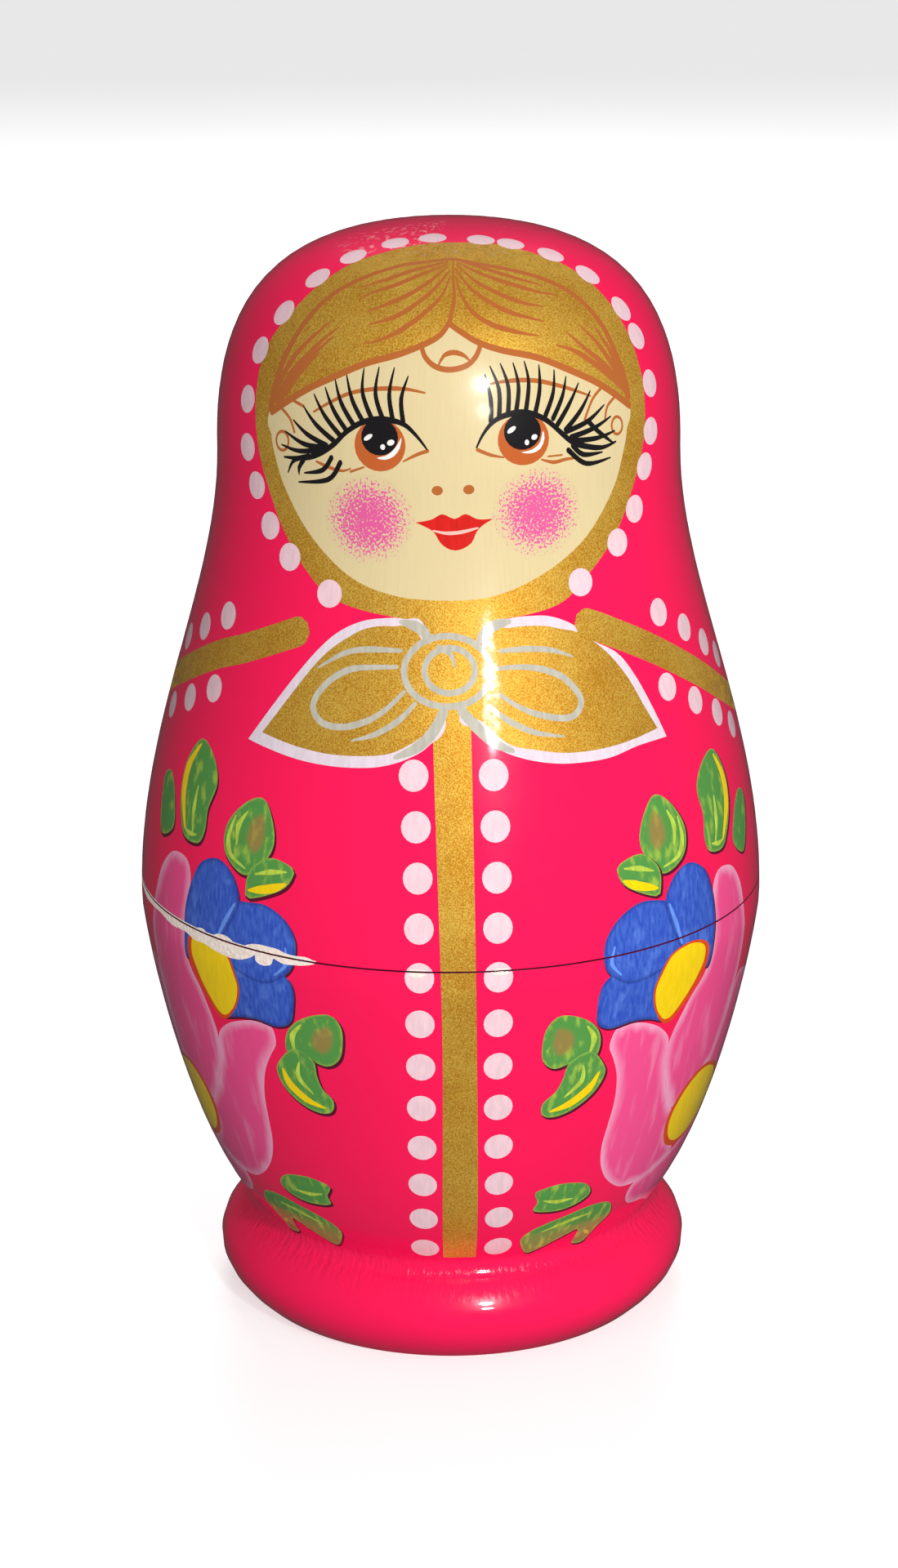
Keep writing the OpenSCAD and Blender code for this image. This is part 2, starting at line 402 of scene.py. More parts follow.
# Ovals are across, up, half width, half height and turn; a line is its points and its widths
LEFT_EYE = {
    "iris": (-10.3, 134.1, 3.35, 3.3),
    "pupil": (-10.35, 135.1, 2.42, 2.3),
    "gleam": (
        (-10.7, 132.5), (-9.5, 132.3), (-8.1, 132.8), (-7.2, 133.9), (-7, 135.2), (-7.5, 134.4), (-8.3, 133.5),
        (-9.4, 132.8),
    ),
    "lights": ((-12.1, 135, 0.66, 0.3, 0.6), (-8.6, 134.5, 0.5, 0.36, 0.4), (-9.8, 133.9, 0.32, 0.36)),
    "lines": (
        (((-3.1, 133.6), (-4.7, 133.1), (-6.7, 132.2)), (0.5, 0.45, 0.2)),
        (((-20.6, 131.3), (-18.1, 130.7), (-16, 130.5), (-14.8, 130.9)), (0.3, 0.5, 0.45, 0.2)),
        (((-14.8, 130.5), (-12.7, 131.2)), (0.35, 0.25)),
        (
            (
                (-21.5, 137.5), (-19, 138.8), (-15.8, 140.2), (-12.6, 140.9), (-9.5, 141.2), (-6.4, 141.2),
                (-3.6, 140.8),
            ),
            (0.3, 0.5, 0.55, 0.6, 0.25),
        ),
        (((-28, 137.3), (-26, 136.2), (-24.9, 134.6)), (0.4,)),
        (((-26, 138.6), (-23.5, 138)), (0.4,)),
    ),
    "ring": (-27.3, 133.2, 1.3, 1.2, 0.4),
    "lashes": LEFT_LASHES,
    "lid": LEFT_LID,
}
RIGHT_EYE = {
    "iris": (11.25, 134.7, 3.4, 3.25),
    "pupil": (11.1, 135.7, 2.45, 2.3),
    "gleam": (
        (10.8, 133.1), (12.4, 132.9), (13.8, 133.4), (14.5, 134.6), (14.3, 135.6), (13.8, 134.2),
        (12.5, 133.35),
    ),
    "lights": ((9.4, 136, 0.66, 0.3, 0.6), (12.9, 134.9, 0.42, 0.34, 0.4), (11.7, 134.3, 0.3, 0.36)),
    "lines": (
        (((4.2, 133.7), (6.1, 133), (8.1, 132.6)), (0.5, 0.45, 0.2)),
        (((13.9, 132), (15.9, 131.5), (17.9, 131.7), (19.7, 131.7)), (0.2, 0.5, 0.45, 0.3)),
        (((15, 132.3), (17.3, 132.3)), (0.25, 0.25)),
        (
            ((6.4, 141.8), (8, 142), (11.1, 142.1), (14.3, 141.8), (17.6, 141), (20.5, 140.1), (23.1, 139.2)),
            (0.25, 0.6, 0.6, 0.5, 0.25),
        ),
        (((26, 140.2), (23.5, 138.8), (21.6, 136.4)), (0.4,)),
        (((28.7, 138.8), (26.3, 137.6), (25.5, 136)), (0.4,)),
    ),
    "ring": (27.9, 134.9, 1.15, 1.1, 0.4),
    "lashes": RIGHT_LASHES,
    "lid": RIGHT_LID,
}


def paint_scarf(p):
    p.area("gold", SCARF_EDGE)
    p.area("gold", SCARF_TIE)
    for dot in SCARF_DOTS:
        p.spot("dots", *dot, SCARF_DOT)


def paint_face(p):
    p.area("cream", FACE_EDGE)
    for middle in (LEFT_CHEEK, RIGHT_CHEEK):
        p.spot("cheek", *middle, *CHEEK)
    for nostril in NOSTRILS:
        p.spot("sienna", *nostril, 0.72, 0.62)
    p.area("lips", LIPS)
    p.stroke("lip_line", LIP_LINE, 0.2, 0.45, 0.45, 0.2)


def paint_hair(p):
    p.area("gold", HAIRLINE + HAIR_TOP)
    for strand in STRANDS:
        p.stroke("sienna", strand, 0.3, 0.75, 0.8, 0.15)
    for strand in TEMPLE_STRANDS:
        p.stroke("sienna", strand, 0.2, 0.8, 1.0, 0.6)
    p.stroke("sienna", HAIR_TOP, 1.3, 0.9, 0.6, 0.9, 1.3)
    p.stroke("sienna", PARTING, 0.3, 0.45, 0.7, 0.8)
    p.stroke("sienna", HAIRLINE, 1.0, 0.9, 0.85, 0.9, 1.0)
    p.stroke("sienna", CURL, 0.75)
    p.stroke("sienna", CURL_INSIDE, 0.3, 0.7, 0.7, 0.3)


def paint_eye(p, eye):
    p.spot("iris", *eye["iris"])
    p.spot("black", *eye["pupil"])
    p.area("white", eye["gleam"])
    for light in eye["lights"]:
        p.spot("white", *light)
    for line, widths in eye["lines"]:
        p.stroke("sienna", line, *widths)
    p.ring("sienna", *eye["ring"])
    for lash in eye["lashes"]:
        p.stroke("black", lash, 0.75, 0.65, 0.2)
    p.stroke("black", eye["lid"], 0.25, 0.6, 0.8, 0.75, 0.7, 0.8, 0.7, 0.25)


LEFT_BOW = (
    (-3.2, 111.2), (-6.3, 112.3), (-8.7, 112.3), (-12.1, 111.7), (-15.4, 110.1), (-18.2, 107.6), (-21.2, 103.8),
    (-24.2, 99.3), (-27.2, 94.4), (-27.2, 94.4), (-23.5, 93.8), (-19, 93.2), (-14.6, 93), (-10.5, 93.2),
    (-7.7, 93.7), (-4.9, 94.8), (-2.6, 96.4), (-0.5, 99.8),
)
LEFT_BOW_GOLD = (
    (-4.2, 110.5), (-7.9, 111.3), (-11.2, 110.9), (-14, 109.5), (-17.2, 107), (-20.2, 103.2), (-25.1, 95.7),
    (-25.1, 95.7), (-20.1, 94.9), (-15.6, 94.5), (-11.7, 94.6), (-7.8, 95.1), (-5.2, 96.3), (-3, 98),
    (-1.2, 100.6),
)
RIGHT_BOW = (
    (5.3, 111), (8.2, 112.2), (12, 112.3), (14.6, 111.9), (17.5, 110.6), (20.2, 108.3), (24, 106),
    (26.4, 102.6), (28.4, 98), (29.8, 93.9), (29.8, 93.9), (24.8, 93.8), (20.3, 93.1), (16.3, 93.1), (13, 93.4),
    (9.3, 94.3), (6, 95.8), (3.3, 98.4), (1.2, 100.5),
)
RIGHT_BOW_GOLD = (
    (5.6, 110.4), (8.1, 111), (10.6, 111.1), (13.2, 110.9), (15.5, 110.3), (18, 109.6), (20.4, 108.1),
    (23, 105.6), (25.3, 102.2), (26.9, 98.6), (28.5, 95.3), (28.5, 95.3), (22.7, 94.6), (18.4, 94.4),
    (14.3, 94.6), (10.5, 95.4), (7.2, 96.4), (4.1, 99.3), (2, 101.2),
)
BOW_LOOPS = (
    (
        (-7, 106.2), (-10, 106), (-13.2, 105.5), (-15.9, 103.9), (-17.7, 101.6), (-17.9, 99.8), (-16.4, 98.3),
        (-13.6, 98.1), (-10.6, 99.1), (-8.1, 100.8), (-5.9, 103.1),
    ),
    (
        (6.2, 106), (9.4, 106), (12.6, 105.4), (15.3, 104), (17.1, 101.7), (17.1, 100.2), (15.9, 99.1),
        (13.9, 99.1), (10.8, 100), (8.3, 101.3), (6.4, 102.7),
    ),
)
BOW_CREASES = (
    ((-6.5, 108.3), (-10.9, 108.2), (-14.2, 107.5), (-18, 105.2)),
    ((-4.4, 101.7), (-6.5, 99.4), (-9.4, 97.5), (-12.3, 96.5)),
    ((6.8, 108.2), (10.8, 108.2), (14.1, 107.7), (16.9, 106.6)),
    ((4.9, 101.3), (7.4, 99.3), (10.6, 97.6), (14.4, 96.7)),
)
# Where the outline of the bow runs in over gold
BOW_ENDS = (
    ((-6.6, 111.9), (-4.8, 111.5), (-3.4, 110.7), (-2.9, 109.8)),
    ((-6.6, 94.8), (-4.1, 96.1), (-2.2, 98), (-0.8, 100.6)),
    ((8.2, 111.8), (6.4, 111.5), (5, 110.8), (4.2, 109.8)),
    ((7.6, 95.5), (5.5, 96.6), (3.4, 98.6), (1.5, 100.8)),
)
# The straps pass over the shoulders and meet low on the back
LEFT_STRAP = (
    (-21.9, 109.3), (-31, 105.6), (-37.5, 103.2), (-50, 97.5), (-60, 93.4), (-74, 89.4), (-92, 86.6),
    (-104, 85.6), (-104, 85.6), (-118, 85.6),
)
RIGHT_STRAP = (
    (19.7, 110.5), (22.8, 109.2), (30.4, 105.5), (39.6, 100.3), (47.6, 95.6), (56, 91.8), (70, 88.4),
    (90, 86.3), (104, 85.6), (104, 85.6), (118, 85.6),
)
STRAP_DOTS = (
    (-36.5, 108.8), (-42.9, 105.9), (-49.5, 102.8), (-36, 99.1), (-42, 96.3), (-48.4, 93.4), (-55.6, 90.9),
    (33.6, 109.6), (39.4, 106.3), (44.9, 102.9), (50, 99.8), (32, 100), (37.6, 96.8), (43.1, 93.6),
    (47.9, 90.4), (-56, 99.9), (-63, 97.1), (-70.4, 95), (-78, 93.4), (-85.6, 92.3), (-93.2, 91.6),
    (-100.8, 91.1), (-108.4, 90.8), (57, 97), (64.2, 94.9), (71.6, 93.3), (79.2, 92.2), (86.8, 91.5),
    (94.4, 91), (102, 90.8), (109.4, 90.7), (-63.4, 87.8), (-71.2, 85.6), (-79, 83.9), (-86.8, 82.6),
    (-94.6, 81.7), (-102.4, 81.1), (-110, 80.8), (54.6, 87.7), (62, 85.6), (69.8, 84), (77.6, 82.8),
    (85.4, 81.9), (93.2, 81.3), (101, 80.9), (108.6, 80.7),
)
STRAP_WIDTH, STRAP_DOT = 3.9, 1.85
KNOT, KNOT_INSIDE = (-0.3, 105.8), (0, 105.9)
KNOT_CREASE = ((-1.4, 108.8), (0.1, 108), (0.7, 106.3))
STRIP = (
    (-2.2, 101), (-2.2, 101), (2.6, 101), (2.6, 101), (2.75, 60), (3.9, 18.5), (3.9, 18.5), (-1.5, 18.5),
    (-1.5, 18.5), (-1, 60),
)
STRIP_DOTS = 12
STRIP_DOT = (1.9, 2.05)
STRIP_DOT_TOP, STRIP_DOT_STEP = 92.6, 6.52
# Each row of dots bows: its place at one dot, how far it moves above that dot and how far below it
STRIP_DOT_MIDDLE, STRIP_DOT_REACH = 4, 7
STRIP_DOT_ROWS = ((-3.4, -2.9, -0.9), (5.1, 0.2, 2.2))


def paint_gown(p):
    """Gold strip down the front, with a row of dots on each side."""
    p.area("gold", STRIP)
    for i in range(STRIP_DOTS):
        up = STRIP_DOT_TOP - STRIP_DOT_STEP * i
        bend = ((i - STRIP_DOT_MIDDLE) / STRIP_DOT_REACH) ** 2
        for across, above, below in STRIP_DOT_ROWS:
            bow = below if i > STRIP_DOT_MIDDLE else above
            p.spot("dots", across + bow * bend, up, *STRIP_DOT)


def paint_straps(p):
    for strap in (LEFT_STRAP, RIGHT_STRAP):
        p.stroke("gold", strap, STRAP_WIDTH)
    for dot in STRAP_DOTS:
        p.spot("dots", *dot, STRAP_DOT)


def paint_bow(p):
    for outside, gold in ((LEFT_BOW, LEFT_BOW_GOLD), (RIGHT_BOW, RIGHT_BOW_GOLD)):
        p.area("silver", outside)
        p.area("gold", gold)
    p.spot("gold", *KNOT, 6.4, 4.6)
    for loop in BOW_LOOPS:
        p.stroke("grey", loop, 0.5, 0.85, 0.85, 0.85, 0.5)
    for crease in BOW_CREASES:
        p.stroke("grey", crease, 0.5, 0.8, 0.7, 0.2)
    for end in BOW_ENDS:
        p.stroke("grey", end, 0.6, 1.3, 1.4, 1.2)
    p.ring("grey", *KNOT, 5.7, 4.45, 0.85)
    p.ring("grey", *KNOT_INSIDE, 3.3, 2.85, 0.8)
    p.stroke("grey", KNOT_CREASE, 0.8, 0.7, 0.2)


# Flowers of the right spray. A leaf is its outline, its light and its yellow strokes, and its printed patch
LEAVES = (
    (
        (
            (38.1, 89.9), (39.8, 88.9), (41, 85.5), (40.5, 81.7), (38.8, 78.4), (37.1, 76.7), (34.3, 77.2),
            (33.6, 79.3), (34, 82.2), (33.6, 85.8), (35.2, 88.4),
        ),
        (((37, 84), (36.6, 80.5), (35.8, 78)), ((35, 78), (36.5, 77.6), (37.6, 77.8))),
        (((38.9, 89), (40.2, 85.6), (39.8, 82), (37.6, 77.8)),),
        (),
    ),
    (((45, 82.4), (46.2, 80.8), (45, 77), (42.9, 74.2), (40.2, 76.5), (41.4, 79.8), (43.3, 82)), (), (), ()),
    (
        ((25.7, 87), (28.3, 85.5), (30.2, 81.7), (29.3, 78.1), (25.7, 76.7), (23.1, 80.3), (23.3, 83.6)),
        (((29.2, 83.4), (29.5, 80.6), (28.6, 78.4), (26, 77.5)), ((27.6, 84.6), (28.4, 82.4), (28, 80))),
        (),
        ((25.4, 85.6), (27, 84), (27.2, 81), (25.4, 79.4), (24, 81), (24.2, 84)),
    ),
    (
        ((19.8, 79.3), (22.9, 80), (25.2, 77.7), (25.3, 75), (24.5, 74), (20.7, 76), (19.5, 77.9)),
        (((20.4, 78.6), (22.4, 78.2), (24.4, 77.4)),),
        (((20.2, 77), (22, 76), (24.8, 75)),),
        (),
    ),
    (
        (
            (12.3, 60.2), (15, 59.3), (17, 57.2), (17.5, 54.5), (16.6, 52.4), (14.4, 52.8), (12, 52.2),
            (10.5, 53.6), (10.3, 56.4), (10.8, 58.8),
        ),
        (((15.6, 58), (16.6, 56), (16.2, 53.6)),),
        (),
        ((12.2, 58.8), (14.2, 57.6), (14.4, 55), (12.6, 53.6), (11.2, 55), (11.2, 57.6)),
    ),
    (
        (
            (16.4, 54), (18.4, 51.4), (18.6, 49.6), (17.4, 47.2), (15, 45.2), (12.5, 44.4), (11, 45),
            (10.9, 46.8), (12.4, 48.5), (13.2, 50.5), (13.8, 52.8),
        ),
        (((15.6, 52), (15.6, 49.6), (13.6, 47.4)),),
        (((17.8, 50.4), (16.8, 48.2), (14.4, 46.2), (12, 45.4)),),
        (),
    ),
    (
        (
            (11.5, 31.3), (12.9, 32), (15.4, 32.3), (18.7, 31.6), (20.2, 30.2), (20.3, 28.9), (18.6, 27.7),
            (15.9, 27.1), (12.6, 27.5), (11.6, 28.2), (12.1, 29.4),
        ),
        (((13, 29.6), (15, 29), (17.6, 29)),),
        (),
        (),
    ),
    (
        (
            (10.8, 21.6), (11.8, 23.4), (14.3, 24.7), (17.4, 25.6), (20.8, 26.4), (23.9, 26.3), (25.8, 25.3),
            (26.7, 22.9), (25.3, 20.7), (24.2, 17.7), (21.5, 17.9), (21.2, 19.9), (20.7, 21.7), (17.4, 20.3),
            (14.2, 18.5), (12.4, 18.3),
        ),
        (((14, 23), (18, 24.2), (22, 24.8)), ((22.6, 20.8), (24.2, 19.4))),
        (),
        (),
    ),
)
PINK_PETALS = (
    (
        (29, 27.6), (29, 25.3), (30.5, 23.6), (33, 22.8), (36, 22), (40, 20), (44, 18.4), (48, 17.4),
        (53, 17.4), (57, 18.6), (60, 21.4), (60.5, 25), (58.5, 29), (54, 32), (48, 33.5), (42, 32.5), (38, 31),
        (34, 29.3), (31, 28.6),
    ),
    (
        (44, 56.6), (47, 55.8), (51, 54.6), (55, 53.2), (59, 51.4), (62, 48.8), (63.3, 45.2), (62.6, 41.4),
        (60, 38.4), (56, 36.4), (51, 36), (46, 37.5), (42, 40), (39.8, 44), (40.8, 47.5), (41.8, 51.5),
        (42.4, 54.8),
    ),
    (
        (36.2, 74.3), (39, 73.6), (41, 70.8), (41.9, 67.4), (42.6, 63), (42.8, 58), (42.2, 54), (40.8, 46),
        (39, 44), (35, 41.5), (32, 40), (30, 43.5), (28.4, 48), (28.3, 52.5), (30.5, 57.5), (33, 61),
        (34.2, 66), (34, 70), (34.6, 73),
    ),
    (
        (19.5, 56.7), (21.5, 57), (24, 56.2), (26.3, 54.7), (28, 52.4), (28.2, 49), (29.3, 45), (31.4, 41),
        (33, 38.5), (32.6, 36), (34, 33.8), (37, 31), (34, 29.3), (31, 28.2), (28, 28.1), (25.5, 28.8),
        (22.8, 31), (21, 34), (20.3, 37.5), (20.5, 41), (20.8, 45), (20.5, 49), (19.6, 52), (18.8, 54.2),
    ),
)
PINK_FLOWER_SHADE = (
    (32.3, 37.6), (33.6, 41.4), (36.8, 43.8), (40.8, 43.6), (45, 41.4), (47, 38), (45.6, 34.4), (41.6, 32.2),
    (37, 31.9), (33.6, 33.8),
)
PINK_FLOWER_CENTRE = (
    (32.9, 37.6), (34.2, 41.2), (37.2, 43.4), (40.8, 43.2), (44.6, 41), (46.4, 38), (45, 34.8), (41.4, 32.7),
    (37.3, 32.4), (34.2, 34.2),
)
BLUE_PETALS = (
    (
        (18.2, 64.8), (16.9, 63.2), (16.6, 60.5), (16.9, 58), (18.6, 56.9), (21.5, 57.2), (24, 56.8),
        (26, 55.9), (27.6, 55.6), (28.5, 58), (29, 62), (26, 65), (22, 66),
    ),
    (
        (22, 73.7), (19.4, 72.4), (17.6, 70), (17.2, 67.2), (18, 64.9), (21, 63), (26, 64), (30, 66), (29, 70),
        (26.5, 72.6), (24.4, 73.5),
    ),
    (
        (30.4, 76.9), (28, 76.3), (26.4, 74.5), (25.8, 72.5), (26.5, 69.5), (28, 66), (31, 63), (33.3, 61.5),
        (34, 64.5), (34.4, 68), (34, 72), (32.9, 75.2),
    ),
)
BLUE_LIGHTS = (
    (((26.4, 72.4), (27.4, 69.4), (28.2, 66.6)), (0.3, 0.6, 0.3)),
    (((18.6, 68.6), (18.2, 66.4), (19.4, 64.6)), (0.2, 0.5, 0.2)),
)
BLUE_FLOWER_SHADE = (
    (24.5, 60.5), (25, 62.7), (26.7, 65.3), (30, 66), (32.6, 65), (32.9, 63.1), (32.5, 61.5), (30.5, 58.5),
    (27.3, 55.5), (25.3, 57.5),
)
BLUE_FLOWER_CENTRE = (
    (24.5, 60.5), (25, 62.7), (26.7, 65.3), (29.8, 66), (32.2, 65), (32.4, 63.1), (31.8, 61.5), (30, 58.7),
    (27.2, 55.9), (25.3, 57.5),
)


# The left spray leans about a height, and its far part is raised, all the more further round and higher up
LEAN, LEAN_ABOUT = 0.15, 70
RAISE, RAISE_PAST, RAISE_FROM, RAISE_OVER = 0.17, 24, 45, 20


def shifted(points, across, up):
    return [(x + across, y + up) for x, y in points]


def paint_flowers(p, left):
    """A spray of flowers and leaves on one side: the left one mirrors the right one, and leans."""

    def at(points):
        if not left:
            return points
        placed = []
        for across, up in points:
            share = min(1, max(0, (up - RAISE_FROM) / RAISE_OVER))
            raised = RAISE * max(0, across - RAISE_PAST) * share
            placed.append((LEAN * (up - LEAN_ABOUT) - across, up + raised))
        return placed

    for outline, lights, yellows, patch in LEAVES:
        p.area("edge", shifted(at(outline), 0.2, -0.3), grow=0.12)
        p.area("leaf", at(outline))
        if patch:
            p.area("hatch", at(patch))
        for light in lights:
            p.stroke("leaf_light", at(light), 0.2, 0.75, 0.2)
        for light in yellows:
            p.stroke("yellow", at(light), 0.3, 1.2, 1.1, 0.3)
    for petal in PINK_PETALS:
        p.area("petal", at(petal))
    p.area("amber", at(PINK_FLOWER_SHADE), grow=0.25)
    p.area("yellow", at(PINK_FLOWER_CENTRE))
    for petal in BLUE_PETALS:
        p.area("edge", shifted(at(petal), 0.1, -0.2), grow=0.1)
    for petal in BLUE_PETALS:
        p.area("blue", at(petal))
    for light, widths in BLUE_LIGHTS:
        p.stroke("blue_light", at(light), *widths)
    p.area("amber", at(BLUE_FLOWER_SHADE), grow=0.3)
    p.area("yellow", at(BLUE_FLOWER_CENTRE))


# Where the lacquer has come off along the seam
CHIPS = (
    (
        (-53, 67.6), (-53, 67), (-49.8, 66.8), (-46.8, 66.4), (-43.9, 66.5), (-41.3, 66.6), (-39.2, 66.3),
        (-37.4, 66.1), (-35.2, 66.3), (-33.7, 66.1), (-32.8, 65.8), (-31, 65.9), (-29.4, 65.6), (-27.9, 65.4),
        (-26.2, 65.3), (-24.7, 65.6), (-23.5, 66.2), (-22.9, 66.7), (-22.8, 66), (-22.2, 65.6), (-21.4, 65.6),
        (-20.6, 66), (-20.4, 66.8), (-19.9, 66.7), (-19.1, 66.4), (-17.8, 66.5), (-16.5, 66.7), (-15.3, 67.1),
        (-15, 67.6), (-15, 67.6),
    ),
    ((-32.6, 67.2), (-32.2, 67.7), (-31.2, 67.9), (-30.6, 67.6), (-30.4, 67.2)),
    ((-29.4, 67.2), (-29.2, 67.7), (-28.2, 68.1), (-27.1, 68.1), (-26.2, 67.7), (-26.2, 67.2)),
    (
        (-24.4, 67.2), (-24.2, 67.7), (-23.3, 68.1), (-22.2, 68.3), (-20.8, 68.3), (-19.6, 68.2), (-18.8, 67.9),
        (-17.5, 67.8), (-16.4, 67.9), (-15.6, 67.7), (-15.4, 67.2),
    ),
    ((-4.4, 66.8), (-3.6, 66.6), (-2.8, 66.9), (-2.8, 67.6), (-4.4, 67.6)),
    ((4.6, 66.9), (5.6, 66.8), (6.2, 67), (6.2, 67.6), (4.6, 67.6)),
)


def painting(outline, worn):
    p = Painting(outline)
    for left in (False, True):
        paint_flowers(p, left)
    paint_gown(p)
    paint_scarf(p)
    paint_bow(p)
    paint_straps(p)
    paint_face(p)
    paint_hair(p)
    for eye in (LEFT_EYE, RIGHT_EYE):
        paint_eye(p, eye)
    if worn:
        for chip in CHIPS:
            p.area("primer", chip)
    return p


# Finishes


class Value:
    """A shader socket that takes part in Python sums."""

    def __init__(self, finish, socket):
        self.finish = finish
        self.socket = socket

    def sum(self, operation, *values):
        return self.finish.node("ShaderNodeMath", {"operation": operation}, dict(enumerate(values)))

    def __add__(self, other):
        return self.sum("ADD", self, other)

    def __sub__(self, other):
        return self.sum("SUBTRACT", self, other)

    def __rsub__(self, other):
        return self.sum("SUBTRACT", other, self)

    def __mul__(self, other):
        return self.sum("MULTIPLY", self, other)

    def __truediv__(self, other):
        return self.sum("DIVIDE", self, other)

    def least(self, other):
        return self.sum("MINIMUM", self, other)

    def size(self):
        return self.sum("ABSOLUTE", self)

    def wave(self):
        return self.sum("SINE", self)

    def above(self, level, soft):
        """0 well below the level and 1 well above it, over a soft step."""
        return self.finish.node(
            "ShaderNodeMapRange", {"interpolation_type": "SMOOTHSTEP"},
            {"Value": self, "From Min": level - soft, "From Max": level + soft},
        )

    __radd__ = __add__
    __rmul__ = __mul__


class Finish:
    """A material, or the light of the room, under construction."""

    def __init__(self, name, room=False):
        self.made = (bpy.data.worlds if room else bpy.data.materials).new(name)
        self.made.use_nodes = True
        self.tree = self.made.node_tree
        self.shader = self.tree.nodes["Background" if room else "Principled BSDF"]

    def node(self, kind, settings=None, inputs=None, out=0):
        made = self.tree.nodes.new(kind)
        for name, setting in (settings or {}).items():
            setattr(made, name, setting)
        for name, value in (inputs or {}).items():
            self.feed(made.inputs[name], value)
        return Value(self, made.outputs[out])

    def feed(self, socket, value):
        if isinstance(value, Value):
            self.tree.links.new(value.socket, socket)
        else:
            opaque = socket.type == "RGBA" and len(value) == 3
            socket.default_value = (*value, 1) if opaque else value

    def mix(self, share, first, second):
        return self.node("ShaderNodeMix", {"data_type": "RGBA"}, {0: share, 6: first, 7: second}, out=2)

    def place(self):
        return self.node("ShaderNodeTexCoord", out="Object")

    def flat(self):
        return self.node("ShaderNodeUVMap", {"uv_map": "flat"})

    def noise(self, where, scale, detail, stretch=None):
        if stretch:
            where = self.node("ShaderNodeMapping", {}, {"Vector": where, "Scale": stretch})
        return self.node("ShaderNodeTexNoise", {}, {"Vector": where, "Scale": scale, "Detail": detail})

    def surface(self, base, roughness=0.3, **uniform):
        """Lacquered paint unless the values say otherwise."""
        values = {"Base Color": base, "Roughness": roughness, "Specular IOR Level": 0.2,
                  "Coat Weight": 1.0, "Coat Roughness": 0.06, "Coat IOR": 1.5}
        values.update({name.replace("_", " "): value for name, value in uniform.items()})
        for name, value in values.items():
            self.feed(self.shader.inputs[name], value)
        return self.made

    def parts(self, vector):
        """The first two numbers of a vector."""
        split = self.node("ShaderNodeSeparateXYZ", {}, {0: vector})
        return split, Value(self, split.socket.node.outputs[1])

    def rim(self):
        """How far inside its painted edge a point of a soft shape lies, in mm."""
        return self.node("ShaderNodeAttribute", {"attribute_name": "rim"}, out="Fac")

    def bump(self, height, distance, strength=1.0, onto=None):
        values = {"Height": height, "Distance": distance, "Strength": strength}
        return self.node("ShaderNodeBump", {}, {**values, "Normal": onto} if onto else values)

    def ripple(self):
        """The slight waviness of brushed lacquer."""
        return self.bump(self.noise(self.place(), 130, 2), 0.0004, 0.12)


def shade(base, share):
    """A colour made darker, or lighter as far as it can be."""
    return [min(1, c * share) for c in base]


def lacquered(name, base, marks=0.08):
    """Brushed paint under clear lacquer: marks is how far the brush marks lighten and darken it."""
    f = Finish(name)
    strokes = f.noise(f.flat(), 1.6, 3, (1, 0.25, 1))
    tinted = f.mix(strokes.above(0.5, 0.16), shade(base, 1 - marks), shade(base, 1 + marks))
    return f.surface(tinted, 0.24 + 0.1 * strokes, Normal=f.ripple())


def fine_line(name, base):
    """Thin lines and small marks: one colour, uneven only in its gloss."""
    f = Finish(name)
    return f.surface(base, 0.24 + 0.14 * f.noise(f.place(), 1500, 2), Normal=f.ripple())


def pink_lacquer(name, worn):
    """The pink ground, with chatter marks of the lathe above the foot; a worn one is rubbed on the crown."""
    f = Finish(name)
    c = colours()
    place, flat = f.place(), f.flat()
    across, up = f.parts(flat)
    cloud = f.noise(place, 25, 3)
    base = f.mix(cloud.above(0.5, 0.25), shade(c.lacquer, 0.95), c.lacquer)
    rough = 0.2 + 0.1 * f.noise(place, 400, 4)
    groove = up.above(12, 2) * (1 - up.above(18, 2))
    chatter = f.noise(flat, 1.1, 2, (1, 0.35, 1)) * groove
    if worn:
        crown = up.above(162, 2) * (1 - (across + 24).size().above(16, 8))
        specks = f.noise(flat, 1.1, 5, (0.35, 1, 1)).above(0.59, 0.03) * crown
        base = f.mix(specks * 0.5, base, c.rubbed)
        rough = rough + 0.3 * specks
    return f.surface(base, rough, Normal=f.bump(chatter, 0.0006, 0.5, f.ripple()))


def gold_paint(name):
    """Bronze powder in lacquer, with bare scratches over the brow of the scarf."""
    f = Finish(name)
    c = colours()
    flat = f.flat()
    across, up = f.parts(flat)
    flakes = f.noise(f.place(), 5200, 3)
    patches = f.noise(f.place(), 140, 2)
    base = f.mix((flakes * 0.8 + patches * 0.2).above(0.5, 0.16), c.gold_dark, c.gold_light)
    brow = up.above(161.5, 1) * (1 - (across - 2).size().above(16, 8))
    worn = f.noise(flat, 1.6, 4, (0.4, 1, 1)).above(0.6, 0.03) * brow
    base = f.mix(worn * 0.6, base, c.wood_light)
    gloss = 0.25 + 0.75 * f.noise(f.place(), 800, 4).above(0.5, 0.06)
    return f.surface(base, 0.44 + 0.16 * flakes, Metallic=0.56, Coat_Weight=gloss, Coat_Roughness=0.1,
                     Normal=f.bump(flakes, 0.00008, 0.6))


def face_paint(name, base):
    """Cream paint with the upright grain of the wood showing faintly."""
    f = Finish(name)
    grain = f.noise(f.flat(), 2.4, 3, (1, 0.08, 1))
    cloud = f.noise(f.flat(), 0.12, 2)
    tinted = f.mix((grain * 0.7 + cloud * 0.3).above(0.5, 0.2), shade(base, 0.975), shade(base, 1.01))
    return f.surface(tinted, 0.24 + 0.08 * grain, Coat_Weight=0.3, Coat_Roughness=0.12, Normal=f.ripple())


